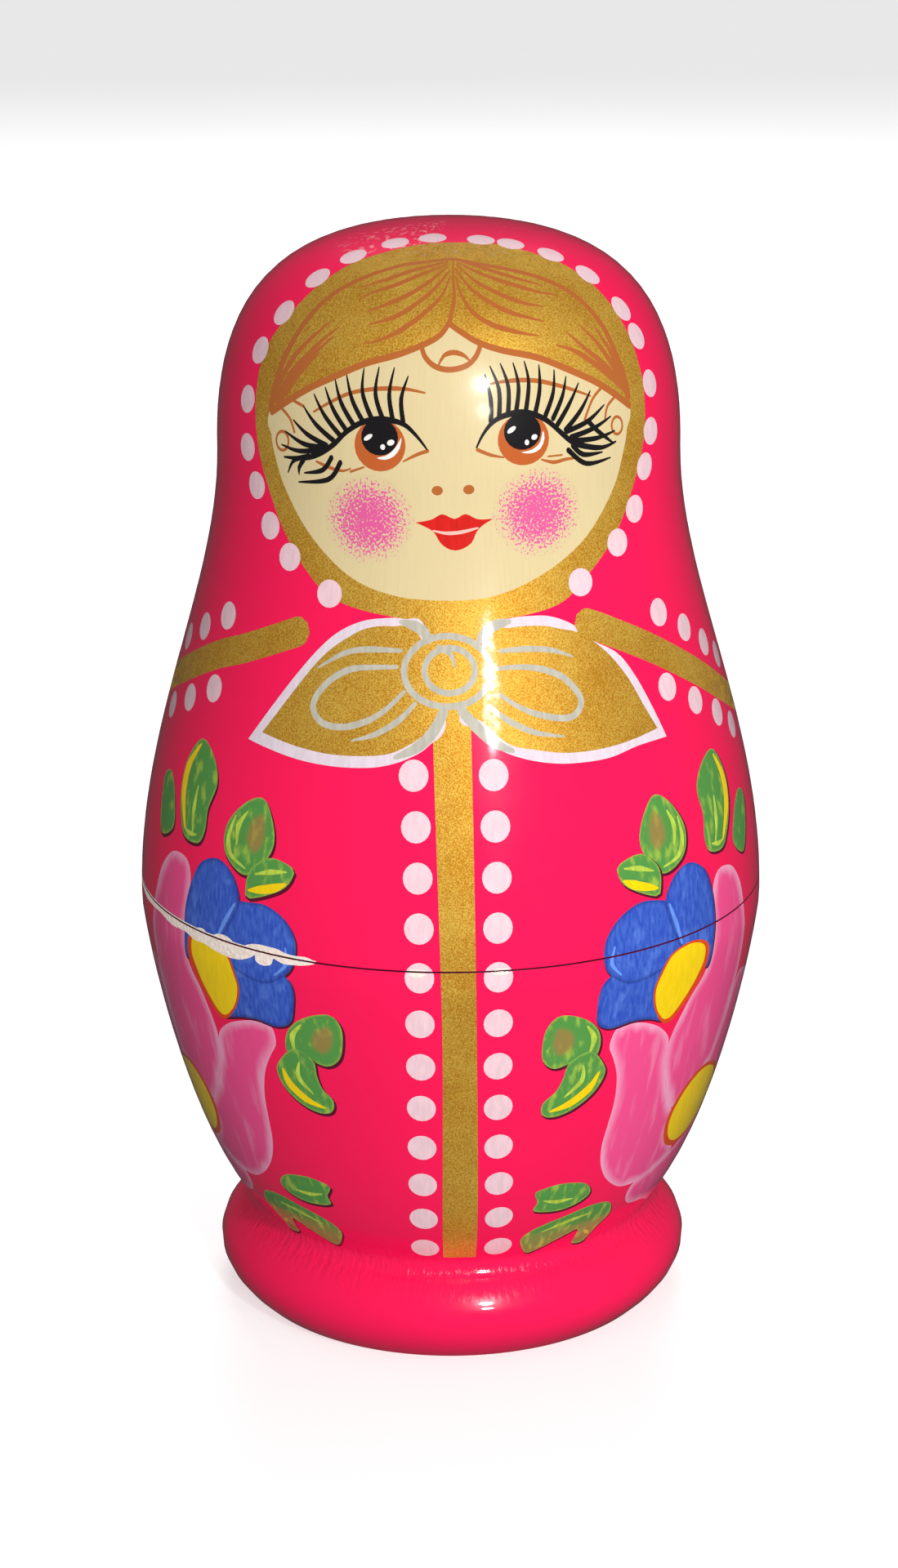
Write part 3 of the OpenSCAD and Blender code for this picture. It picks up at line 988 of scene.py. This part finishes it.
def dabbed_cheek(name):
    """Magenta dabs on the face paint, dense in the middle of each cheek and scattered at its edge."""
    f = Finish(name)
    c = colours()
    flat = f.flat()
    across, up = f.parts(flat)
    reach = None
    for middle, level in (LEFT_CHEEK, RIGHT_CHEEK):
        wide, high = (across - middle) / 5.5, (up - level) / 4.5
        far = wide * wide + high * high
        reach = far if reach is None else reach.least(far)
    dabs = f.noise(flat, 3.0, 3)
    share = (dabs + 0.12 - reach * 0.17).above(0.5, 0.035)
    return f.surface(f.mix(share * 0.92, c.cream, c.cheek), 0.28, Normal=f.ripple())


def soft_petal(name):
    """Pink petal, brushed lengthwise, that pales towards its edge."""
    f = Finish(name)
    c = colours()
    streaks = f.noise(f.flat(), 0.55, 3, (1, 0.16, 1))
    share = (f.rim() + 2.2 * streaks - 1.1).above(0.7, 0.9)
    base = f.mix(share, c.petal_light, c.petal)
    base = f.mix(streaks.above(0.62, 0.1) * 0.35, base, c.petal_light)
    return f.surface(base, 0.24 + 0.1 * streaks, Normal=f.ripple())


def blue_petal(name):
    """Blue petal with fine upright fibres, darker along its edge."""
    f = Finish(name)
    c = colours()
    fibres = f.noise(f.flat(), 2.6, 3, (1, 0.22, 1))
    veins = f.noise(f.flat(), 0.5, 2, (1, 0.5, 1))
    base = f.mix(fibres.above(0.52, 0.2) * 0.3 + veins.above(0.62, 0.06) * 0.3, c.blue, c.blue_light)
    base = f.mix((1 - f.rim().above(0.35, 0.35)) * 0.55, base, shade(c.blue, 0.35))
    return f.surface(base, 0.26 + 0.1 * fibres, Normal=f.ripple())


def leaf_paint(name, printed):
    """Green leaf, brushed with light green; a printed one has warm print dots that fade towards its edge."""
    f = Finish(name)
    c = colours()
    flat = f.flat()
    across, up = f.parts(flat)
    rim = f.rim()
    brush = f.noise(flat, 0.8, 3, (1, 0.4, 1))
    base = f.mix(brush.above(0.6, 0.1) * 0.6, c.leaf, c.leaf_light)
    if printed:
        weave = (across * 15.7).wave() * (up * 15.7).wave()
        base = f.mix((0.6 + 0.35 * weave) * rim.above(0.5, 0.5), base, c.leaf_print)
    else:
        base = f.mix((1 - (rim + brush).above(0.65, 0.2)) * 0.45, base, c.leaf_light)
    return f.surface(base, 0.26 + 0.1 * brush, Normal=f.ripple())


def primer(name):
    """Chalky ground that shows where the lacquer has chipped off."""
    f = Finish(name)
    c = colours()
    grit = f.noise(f.place(), 1800, 3)
    base = f.mix(grit.above(0.5, 0.2), shade(c.primer, 0.86), c.primer)
    return f.surface(base, 0.7 + 0.2 * grit, Coat_Weight=0.0, Normal=f.bump(grit, 0.0003, 0.5))


def bare_wood(name):
    """Turned wood without paint, with the faint grooves of the turning."""
    f = Finish(name)
    c = colours()
    place = f.place()
    rings = f.noise(place, 700, 4, (0.06, 0.06, 1))
    fibre = f.noise(place, 900, 3, (1, 1, 0.05))
    base = f.mix((rings * 0.6 + fibre * 0.4).above(0.5, 0.18), c.wood_dark, c.wood_light)
    return f.surface(base, 0.55 + 0.2 * fibre, Coat_Weight=0.0, Normal=f.bump(rings, 0.0002, 0.25))


MADE_FINISHES = {}


def finishes(worn):
    """Every finish of a doll, by name, in slot order."""
    key = "worn" if worn else "fresh"
    if key not in MADE_FINISHES:
        c = colours()
        if "common" not in MADE_FINISHES:
            MADE_FINISHES["common"] = {
                "gold": gold_paint("gold_paint"),
                "cream": face_paint("face_paint", c.cream),
                "sienna": fine_line("sienna_paint", c.sienna),
                "black": fine_line("lash_paint", c.black),
                "iris": fine_line("iris_paint", c.iris),
                "white": fine_line("eye_light_paint", c.white),
                "lips": lacquered("lip_paint", c.lips),
                "lip_line": fine_line("lip_line_paint", c.lip_line),
                "cheek": dabbed_cheek("cheek_paint"),
                "dots": lacquered("dot_paint", c.dots, 0.05),
                "silver": lacquered("silver_paint", c.silver, 0.05),
                "grey": lacquered("grey_paint", c.grey, 0.08),
                "blue": blue_petal("blue_petal_paint"),
                "blue_light": lacquered("light_blue_paint", c.blue_light),
                "petal": soft_petal("pink_petal_paint"),
                "yellow": lacquered("yellow_paint", c.yellow, 0.04),
                "amber": lacquered("amber_paint", c.amber),
                "leaf": leaf_paint("leaf_paint", False),
                "hatch": leaf_paint("leaf_print", True),
                "leaf_light": lacquered("light_leaf_paint", c.leaf_light, 0.15),
                # Printed dark edges of leaves and petals, and painted shade on the rims at the seam
                "edge": fine_line("dark_edge_and_seam_shade_paint", c.edge),
                "primer": primer("chipped_primer"),
                "bare_wood": bare_wood("bare_wood"),
            }
        MADE_FINISHES[key] = {"lacquer": pink_lacquer("pink_lacquer_" + key, worn), **MADE_FINISHES["common"]}
    return MADE_FINISHES[key]


# Modelling

# Finishes that change towards their painted edge
SOFT = ("petal", "blue", "leaf", "hatch")
# The map that baked maps use: the skin fills its upper part, the wood the strip below
BAKE_MAP = "OFBake"
SKIN_PART, WOOD_PART = 0.76, 0.23
# Depths, in mm inside its edge, at which a soft shape gets points of its own
SOFT_DEPTHS = (0.5, 1.1, 2.0)
# Points of the plain rows keep this far, in mm, from painted edges
ROW_GAP = 0.4
# Reach, in metres, within which points are welded, lie on a ring and lie on the painted skin
WELD, ON_RING, ON_SKIN = 2e-6, 1e-5, 2e-5
SMOOTH_ANGLE = math.radians(32)


def alone(thing):
    bpy.ops.object.select_all(action="DESELECT")
    thing.select_set(True)
    bpy.context.view_layer.objects.active = thing


def inside(shape, points):
    """Which points lie in a closed shape."""
    x, y = points[:, 0, None], points[:, 1, None]
    x0, y0 = shape[:, 0], shape[:, 1]
    x1, y1 = np.roll(x0, -1), np.roll(y0, -1)
    left = (x1 - x0) * (y - y0) - (x - x0) * (y1 - y0)
    turns = ((y0 <= y) & (y1 > y) & (left > 0)).sum(1) - ((y0 > y) & (y1 <= y) & (left < 0)).sum(1)
    return turns != 0


def cut_sheet(outline, shapes, low, high):
    """Points and triangles of a flat sheet, cut along every painted edge."""
    s = sizes()
    rows = np.linspace(low, high, round((high - low) / (s.row / MM)) + 1)
    near = kdtree.KDTree(sum(len(shape) for _, shape in shapes))
    for number, q in enumerate(np.concatenate([shape for _, shape in shapes])):
        near.insert((q[0], q[1], 0), number)
    near.balance()
    spots, edges, rings = [], [], []
    for i, up in enumerate(rows):
        ends = i in (0, len(rows) - 1)
        r = outline.radius(up)
        count = s.columns if ends and r > 1 else max(24, int(s.columns * r / BELLY_RADIUS))
        ring = []
        for across in np.linspace(-HALF_TURN, HALF_TURN, count + 1):
            border = ends or abs(across) > HALF_TURN - 1e-6
            if border or near.find((across, up, 0))[2] > ROW_GAP:
                ring.append(len(spots))
                spots.append((across, up))
        rings.append(ring)
    for ring in (rings[0], rings[-1]):
        edges += list(zip(ring, ring[1:]))
    for below, above in zip(rings, rings[1:]):
        edges += [(below[0], above[0]), (below[-1], above[-1])]
    for finish, shape in shapes:
        if finish in SOFT:
            inward = math.copysign(1, turning(shape)) * sideways(shape, True)
            for depth in SOFT_DEPTHS:
                for q in (shape + depth * inward)[::2]:
                    if near.find((q[0], q[1], 0))[2] > 0.85 * depth and low < q[1] < high:
                        spots.append(tuple(q))
        first = len(spots)
        spots += [tuple(q) for q in shape]
        edges += [(first + i, first + (i + 1) % len(shape)) for i in range(len(shape))]
    flat, _, faces, _, _, _ = delaunay_2d_cdt([Vector(q) for q in spots], edges, [], 0, 1e-4)
    flat = np.array([tuple(q) for q in flat])
    faces = np.array([f for f in faces if len(f) == 3])
    middle = flat[faces].mean(axis=1)
    kept = (np.abs(middle[:, 0]) < HALF_TURN) & (middle[:, 1] > low) & (middle[:, 1] < high)
    used, faces = np.unique(faces[kept], return_inverse=True)
    return flat[used], faces.reshape(-1, 3)


def painted_skin(name, outline, shapes, low, high, slots):
    """The outside of one half: a flat sheet, cut along every painted edge, is wrapped round the outline."""
    flat, faces = cut_sheet(outline, shapes, low, high)
    middle = flat[faces].mean(axis=1)
    names = list(slots)
    slot = np.zeros(len(faces), int)
    rim = np.zeros((len(faces), 3), np.float32)
    for finish, shape in shapes:
        reach = np.all((middle >= shape.min(0)) & (middle <= shape.max(0)), axis=1).nonzero()[0]
        covered = reach[inside(shape, middle[reach])]
        slot[covered] = names.index(finish)
        if finish in SOFT:
            corners = flat[faces[covered]].reshape(-1, 1, 2)
            rim[covered] = np.sqrt(((corners - shape) ** 2).sum(2)).min(1).reshape(-1, 3)
    mesh = bpy.data.meshes.new(name)
    mesh.from_pydata((outline.wrapped(flat)[0] * MM).tolist(), [], faces.tolist())
    for finish in slots.values():
        mesh.materials.append(finish)
    mesh.polygons.foreach_set("material_index", slot)
    laid = flat[faces].reshape(-1, 2).astype(np.float32)
    mesh.uv_layers.new(name="flat").uv.foreach_set("vector", laid.ravel())
    scale = np.array([0.5 / HALF_TURN, SKIN_PART / (high - low)])
    baked = laid * scale + [0.5, 1 - SKIN_PART - scale[1] * low]
    mesh.uv_layers.new(name=BAKE_MAP).uv.foreach_set("vector", baked.astype(np.float32).ravel())
    mesh.attributes.new("rim", "FLOAT", "CORNER").data.foreach_set("value", rim.ravel())
    skin = bpy.data.objects.new(name, mesh)
    bpy.context.collection.objects.link(skin)
    alone(skin)
    bpy.ops.object.mode_set(mode="EDIT")
    bpy.ops.mesh.select_all(action="SELECT")
    bpy.ops.mesh.remove_doubles(threshold=WELD)
    bpy.ops.object.mode_set(mode="OBJECT")
    return skin


def choose_ring(thing, height):
    """Selects the open edge loop at a height, in edge mode."""
    bpy.ops.object.mode_set(mode="EDIT")
    bpy.ops.mesh.select_mode(type="EDGE")
    bpy.ops.mesh.select_all(action="DESELECT")
    bpy.ops.mesh.select_non_manifold(extend=False, use_wire=False, use_boundary=True, use_multi_face=False,
                                     use_non_contiguous=False, use_verts=False)
    bpy.ops.object.mode_set(mode="OBJECT")
    v = thing.data.vertices
    for e in thing.data.edges:
        if e.select and abs(v[e.vertices[0]].co.z - height) > ON_RING:
            e.select = False
    bpy.ops.object.mode_set(mode="EDIT")


def grow_ring(rise, spread):
    """Extrudes the selected loop up by rise and scales it about the axis."""
    bpy.ops.mesh.extrude_edges_move(TRANSFORM_OT_translate={"value": (0, 0, rise)})
    bpy.ops.transform.resize(value=(spread, spread, 1), center_override=(0, 0, 0))


def round_rim(skin, outline, way):
    """Rounds the rim at the seam: way is 1 on a lower half and -1 on an upper one."""
    s = sizes()
    start = outline.seam - way * s.rim_drop / MM
    r, z = float(outline.radius(start)), float(outline.height(start))
    choose_ring(skin, z * MM)
    last_r, last_z = r, z
    for part in (0.5, 1.0):
        next_r = r - s.rim_depth / MM * (1 - math.cos(part * math.pi / 2))
        next_z = z + (SEAM_HEIGHT - z) * math.sin(part * math.pi / 2)
        grow_ring((next_z - last_z) * MM, next_r / last_r)
        last_r, last_z = next_r, next_z
    bpy.ops.object.mode_set(mode="OBJECT")
    # The rounding faces take the dark edge colour: painted shade in the gap between the halves
    dark = skin.data.materials.find("dark_edge_and_seam_shade_paint")
    for face in skin.data.polygons:
        if way * (face.center.z - z * MM) > ON_RING:
            face.material_index = dark


def turn_wood(piece, rings, strip=(0.0, 1.0)):
    """Bare turned wood: an open loop is extruded from ring to ring and closed on the axis.

    A ring is its radius and height in metres, and the strip is the wood's share of the bake map's width.
    """
    mesh = piece.data
    painted = len(mesh.polygons)
    alone(piece)
    choose_ring(piece, rings[0][1])
    for (r, z), (next_r, next_z) in zip(rings, rings[1:]):
        grow_ring(next_z - z, next_r / r)
    bpy.ops.mesh.merge(type="CENTER")
    bpy.ops.mesh.select_mode(type="FACE")
    bpy.ops.object.mode_set(mode="OBJECT")
    mesh.polygons.foreach_set("select", np.arange(len(mesh.polygons)) >= painted)
    for face in mesh.polygons[painted:]:
        face.material_index = mesh.materials.find("bare_wood")
    mesh.uv_layers[BAKE_MAP].active = True
    bpy.ops.object.mode_set(mode="EDIT")
    bpy.ops.uv.smart_project(island_margin=0.01)
    bpy.ops.object.mode_set(mode="OBJECT")
    laid = mesh.uv_layers[BAKE_MAP].uv
    for face in mesh.polygons[painted:]:
        for corner in face.loop_indices:
            across, up = laid[corner].vector
            laid[corner].vector = (strip[0] + (strip[1] - strip[0]) * across, WOOD_PART * up)


class Doll:
    """Sizes of one doll of the nest, in mm, from its place in the frame."""

    def __init__(self, outline, number):
        s = sizes()
        self.outline = outline
        lower = HOLLOW[number] + "_lower" if number < len(HOLLOW) else CORE
        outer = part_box(HOLLOW[0] + "_lower")
        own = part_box(lower)
        self.size = own[1][0] / outer[1][0]
        self.level = own[0][2] / MM
        root = math.sqrt(self.size)
        self.wall = s.wall / MM * root
        self.eased = s.eased / MM * root
        self.seam = SEAM_HEIGHT * self.size
        self.lip_radius = BELLY_RADIUS * self.size - self.wall + s.lip / MM * root
        self.lip_top = self.seam + s.lip_height / MM * root
        self.floor = (WAIST_HEIGHT + s.web / MM) * self.size
        drop, depth = s.rim_drop / MM, s.rim_depth / MM
        self.cup_rim = float(outline.radius(outline.seam - drop) - depth) * self.size
        self.cap_rim = float(outline.radius(outline.seam + drop) - depth) * self.size
        body = outline.body * self.size
        slope = np.gradient(body, axis=0)
        inward = np.stack([-slope[:, 1], slope[:, 0]], 1) / np.linalg.norm(slope, axis=1)[:, None]
        self.cavity = body + inward * self.wall

    def hollow(self, height):
        """Radius of the cavity at a height."""
        return float(np.interp(height, self.cavity[:, 1], self.cavity[:, 0]))

    def cup_rings(self, seat):
        """From the rim over the lip and down the cup to its floor."""
        edge = self.eased
        lip, top = self.lip_radius, self.lip_top
        rings = [(self.cup_rim, self.seam), (lip + edge, self.seam), (lip, self.seam + edge),
                 (lip, top - edge), (lip - edge, top), (self.hollow(top) + edge, top)]
        for height in np.linspace(top - edge, self.floor, 14):
            rings.append((max(self.hollow(height), seat), height))
        return rings + [(rings[-1][0] * 0.6, self.floor), (rings[-1][0] * 0.2, self.floor), (0, self.floor)]

    def cap_rings(self):
        """From the rim over the rebate and up the cap to its crown."""
        s = sizes()
        bore = self.lip_radius + s.lip_gap / MM
        end = self.lip_top + s.lip_end_gap / MM
        edge = self.eased * 0.8
        rings = [(self.cap_rim, self.seam), (bore + edge, self.seam), (bore, self.seam + edge), (bore, end),
                 (self.hollow(end) + edge, end)]
        top = self.cavity[-1, 1]
        for t in np.linspace(0, 1, 18)[:-1]:
            height = end + edge + (top - end - edge) * math.sin(t * math.pi / 2)
            rings.append((self.hollow(height), height))
        return rings + [(0, top)]

    def sole_rings(self):
        """From the edge of the sole to its middle."""
        r = float(self.outline.radius(0)) * self.size
        return [(r, 0), (r * 0.97, 0), (r * 0.5, 0), (0, 0)]

    def place(self, rings):
        return [(r * MM, (z + self.level) * MM) for r, z in rings]

    def put(self, thing):
        """Moves a mesh of the outer doll's size to this doll's size and place."""
        thing.data.transform(Matrix.Translation((0, 0, self.level * MM)) @ Matrix.Scale(self.size, 4))


def skin_corners(thing, outline, doll):
    """Which corners of a piece lie on the painted skin, and the outline's own normals there."""
    mesh = thing.data
    count = len(mesh.loops)
    flat = np.empty(count * 2, np.float32)
    mesh.uv_layers["flat"].uv.foreach_get("vector", flat)
    flat = flat.reshape(-1, 2)
    corner = np.empty(count, np.int32)
    mesh.loops.foreach_get("vertex_index", corner)
    place = np.empty(len(mesh.vertices) * 3, np.float32)
    mesh.vertices.foreach_get("co", place)
    place = place.reshape(-1, 3)[corner]
    true, normal = outline.wrapped(flat)
    true = true * doll.size * MM + [0, 0, doll.level * MM]
    skin = np.linalg.norm(true - place, axis=1) < ON_SKIN
    return skin, normal


def finish_piece(thing, outline, doll, body):
    """Smooths the piece, gives the skin the outline's own normals, and hangs it on its body."""
    alone(thing)
    bpy.ops.object.mode_set(mode="EDIT")
    bpy.ops.mesh.select_all(action="SELECT")
    bpy.ops.mesh.normals_make_consistent(inside=False)
    bpy.ops.object.mode_set(mode="OBJECT")
    bpy.ops.object.shade_smooth_by_angle(angle=SMOOTH_ANGLE)
    mesh = thing.data
    skin, normal = skin_corners(thing, outline, doll)
    smooth = np.empty(len(mesh.loops) * 3, np.float32)
    mesh.corner_normals.foreach_get("vector", smooth)
    smooth = np.where(skin[:, None], normal, smooth.reshape(-1, 3))
    mesh.normals_split_custom_set(smooth.tolist())
    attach(thing, body)
    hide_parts(body)


def copy_of(thing, name):
    made = thing.copy()
    made.data = thing.data.copy()
    made.name = made.data.name = name
    bpy.context.collection.objects.link(made)
    return made


def remove(thing):
    mesh = thing.data
    bpy.data.objects.remove(thing)
    bpy.data.meshes.remove(mesh)


def skins_of(outline, half):
    """The outer doll's worn skin of one half, and the fresh one that every smaller doll repeats."""
    drop = sizes().rim_drop / MM
    low, high = (0, outline.seam - drop) if half == "lower" else (outline.seam + drop, outline.top)
    made = []
    for worn in (True, False):
        shapes = painting(outline, worn).shapes
        skin = painted_skin(half + "_skin", outline, shapes, low, high, finishes(worn))
        round_rim(skin, outline, 1 if half == "lower" else -1)
        made.append(skin)
    return made


class NEST_OT_lower_halves(bpy.types.Operator):
    """Model the six lower halves: painted cup, foot and sole, with the lip and the bare wood inside"""

    bl_idname = "nest.lower_halves"
    bl_label = "Lower Halves"

    def execute(self, context):
        outline = Outline(sizes().groove_round / MM)
        worn, fresh = skins_of(outline, "lower")
        for number, name in enumerate(HOLLOW):
            doll = Doll(outline, number)
            inner = Doll(outline, number + 1)
            piece = copy_of(worn if number == 0 else fresh, name + "_cup")
            doll.put(piece)
            seat = FOOT_RADIUS * inner.size + sizes().foot_gap / MM
            turn_wood(piece, doll.place(doll.cup_rings(seat)), (0.0, 0.75))
            turn_wood(piece, doll.place(doll.sole_rings()), (0.77, 1.0))
            finish_piece(piece, outline, doll, name + "_lower")
        remove(worn)
        remove(fresh)
        return {"FINISHED"}


class NEST_OT_upper_halves(bpy.types.Operator):
    """Model the six upper halves: painted head and shoulders, with the rebate and the bare wood inside"""

    bl_idname = "nest.upper_halves"
    bl_label = "Upper Halves"

    def execute(self, context):
        outline = Outline(sizes().groove_round / MM)
        worn, fresh = skins_of(outline, "upper")
        for number, name in enumerate(HOLLOW):
            doll = Doll(outline, number)
            piece = copy_of(worn if number == 0 else fresh, name + "_cap")
            doll.put(piece)
            turn_wood(piece, doll.place(doll.cap_rings()))
            finish_piece(piece, outline, doll, name + "_upper")
        remove(worn)
        remove(fresh)
        return {"FINISHED"}


class NEST_OT_core_doll(bpy.types.Operator):
    """Model the smallest doll, turned and painted in one piece"""

    bl_idname = "nest.core_doll"
    bl_label = "Core Doll"

    def execute(self, context):
        outline = Outline(sizes().groove_round / MM)
        doll = Doll(outline, len(HOLLOW))
        shapes = painting(outline, False).shapes
        piece = painted_skin("core_doll_skin", outline, shapes, 0, outline.top, finishes(False))
        doll.put(piece)
        turn_wood(piece, doll.place(doll.sole_rings()))
        finish_piece(piece, outline, doll, CORE)
        return {"FINISHED"}


# Round lamps: name, setting with the power, share of it, width, place, height of the aim, seen in gloss
LAMPS = (
    ("front_lamp", "lamp", 1.0, 0.08, (0.135, -0.45, 0.13), 0.07, False),
    ("gleam_lamp", "gleam_lamp", 1.0, 0.05, (0.135, -0.45, 0.222), 0.08, True),
    ("high_lamp", "high_lamp", 1.0, 0.05, (0.139, -0.45, 0.33), 0.08, True),
    ("right_lamp", "side_lamp", 1.0, 0.06, (0.39, -0.5, 0.364), 0.06, False),
    ("back_lamp", "back_lamp", 1.0, 0.7, (0, 0.9, 0.8), 0.08, False),
    ("back_panel", "back_lamp", 0.08, 0.7, (0, 0.9, 0.8), 0.08, True),
)
FLOOR_WIDTH = 6
PHOTO_HEIGHT = 1920
SHIFT_PIXELS = -1.5


class NEST_OT_stage(bpy.types.Operator):
    """Set up the pale floor, the soft lights and the camera"""

    bl_idname = "nest.stage"
    bl_label = "Stage"

    def execute(self, context):
        st = context.scene.doll_stage
        bpy.ops.object.select_all(action="DESELECT")
        bpy.ops.mesh.primitive_grid_add(x_subdivisions=2, y_subdivisions=2, size=FLOOR_WIDTH)
        floor = context.active_object
        floor.name = "floor"
        floor.visible_diffuse = floor.visible_glossy = False
        paper = Finish("floor_paper")
        sheet = paper.mix(paper.noise(paper.place(), 8, 2), st.floor, shade(st.floor, 0.985))
        paper.surface(sheet, 0.8, Coat_Weight=0.0, Emission_Color=sheet, Emission_Strength=st.floor_glow)
        floor.data.materials.append(paper.made)
        for name, power, share, width, at, aim, gloss in LAMPS:
            self.lamp(context, name, getattr(st, power) * share, width, at, (0, 0, aim)).visible_glossy = gloss
        room = Finish("room", room=True)
        gloss, camera = (room.node("ShaderNodeLightPath", out=ray) for ray in ("Is Glossy Ray", "Is Camera Ray"))
        room.feed(room.shader.inputs["Color"], (1, 1, 1))
        strength = st.room + gloss * (st.gleam - st.room) + camera * (st.backdrop - st.room)
        room.feed(room.shader.inputs["Strength"], strength)
        context.scene.world = room.made
        context.scene.view_settings.view_transform = "Standard"
        self.camera(context, st)
        return {"FINISHED"}

    def lamp(self, context, name, power, width, at, towards):
        bpy.ops.object.light_add(type="AREA", location=at)
        lamp = context.active_object
        lamp.name = name
        lamp.data.energy = power
        lamp.data.shape = "DISK"
        lamp.data.size = width
        lamp.rotation_euler = (Vector(towards) - Vector(at)).to_track_quat("-Z", "Y").to_euler()
        return lamp

    def camera(self, context, st):
        at = Vector((0, -st.distance, st.height))
        bpy.ops.object.camera_add(location=at)
        camera = context.active_object
        camera.name = "photo_camera"
        way = (Vector((0, 0, st.aim)) - at).to_track_quat("-Z", "Y")
        camera.rotation_euler = (way.to_matrix() @ Matrix.Rotation(st.roll, 3, "Z")).to_euler()
        camera.data.lens = st.lens
        camera.data.sensor_width = 36
        camera.data.sensor_fit = "AUTO"
        camera.data.shift_x = SHIFT_PIXELS / PHOTO_HEIGHT
        camera.data.clip_start = 0.01
        context.scene.camera = camera


class NEST_PT_panel(bpy.types.Panel):
    bl_label = "Nesting Doll"
    bl_idname = "NEST_PT_panel"
    bl_space_type = "VIEW_3D"
    bl_region_type = "UI"
    bl_category = "Nesting Doll"

    def draw(self, context):
        column = self.layout.column()
        for operator in OPERATORS:
            column.operator(operator.bl_idname)
        for group in (context.scene.doll_sizes, context.scene.doll_colours, context.scene.doll_stage):
            box = self.layout.box()
            for name in group.__annotations__:
                box.prop(group, name)


OPERATORS = (NEST_OT_lower_halves, NEST_OT_upper_halves, NEST_OT_core_doll, NEST_OT_stage)
CLASSES = (DollSizes, DollColours, DollStage, *OPERATORS, NEST_PT_panel)


def register():
    for made in CLASSES:
        bpy.utils.register_class(made)
    bpy.types.Scene.doll_sizes = PointerProperty(type=DollSizes)
    bpy.types.Scene.doll_colours = PointerProperty(type=DollColours)
    bpy.types.Scene.doll_stage = PointerProperty(type=DollStage)


def unregister():
    del bpy.types.Scene.doll_stage, bpy.types.Scene.doll_colours, bpy.types.Scene.doll_sizes
    for made in reversed(CLASSES):
        bpy.utils.unregister_class(made)


def main():
    register()
    bpy.ops.nest.lower_halves()
    bpy.ops.nest.upper_halves()
    bpy.ops.nest.core_doll()
    bpy.ops.nest.stage()


if __name__ == "__main__":
    main()
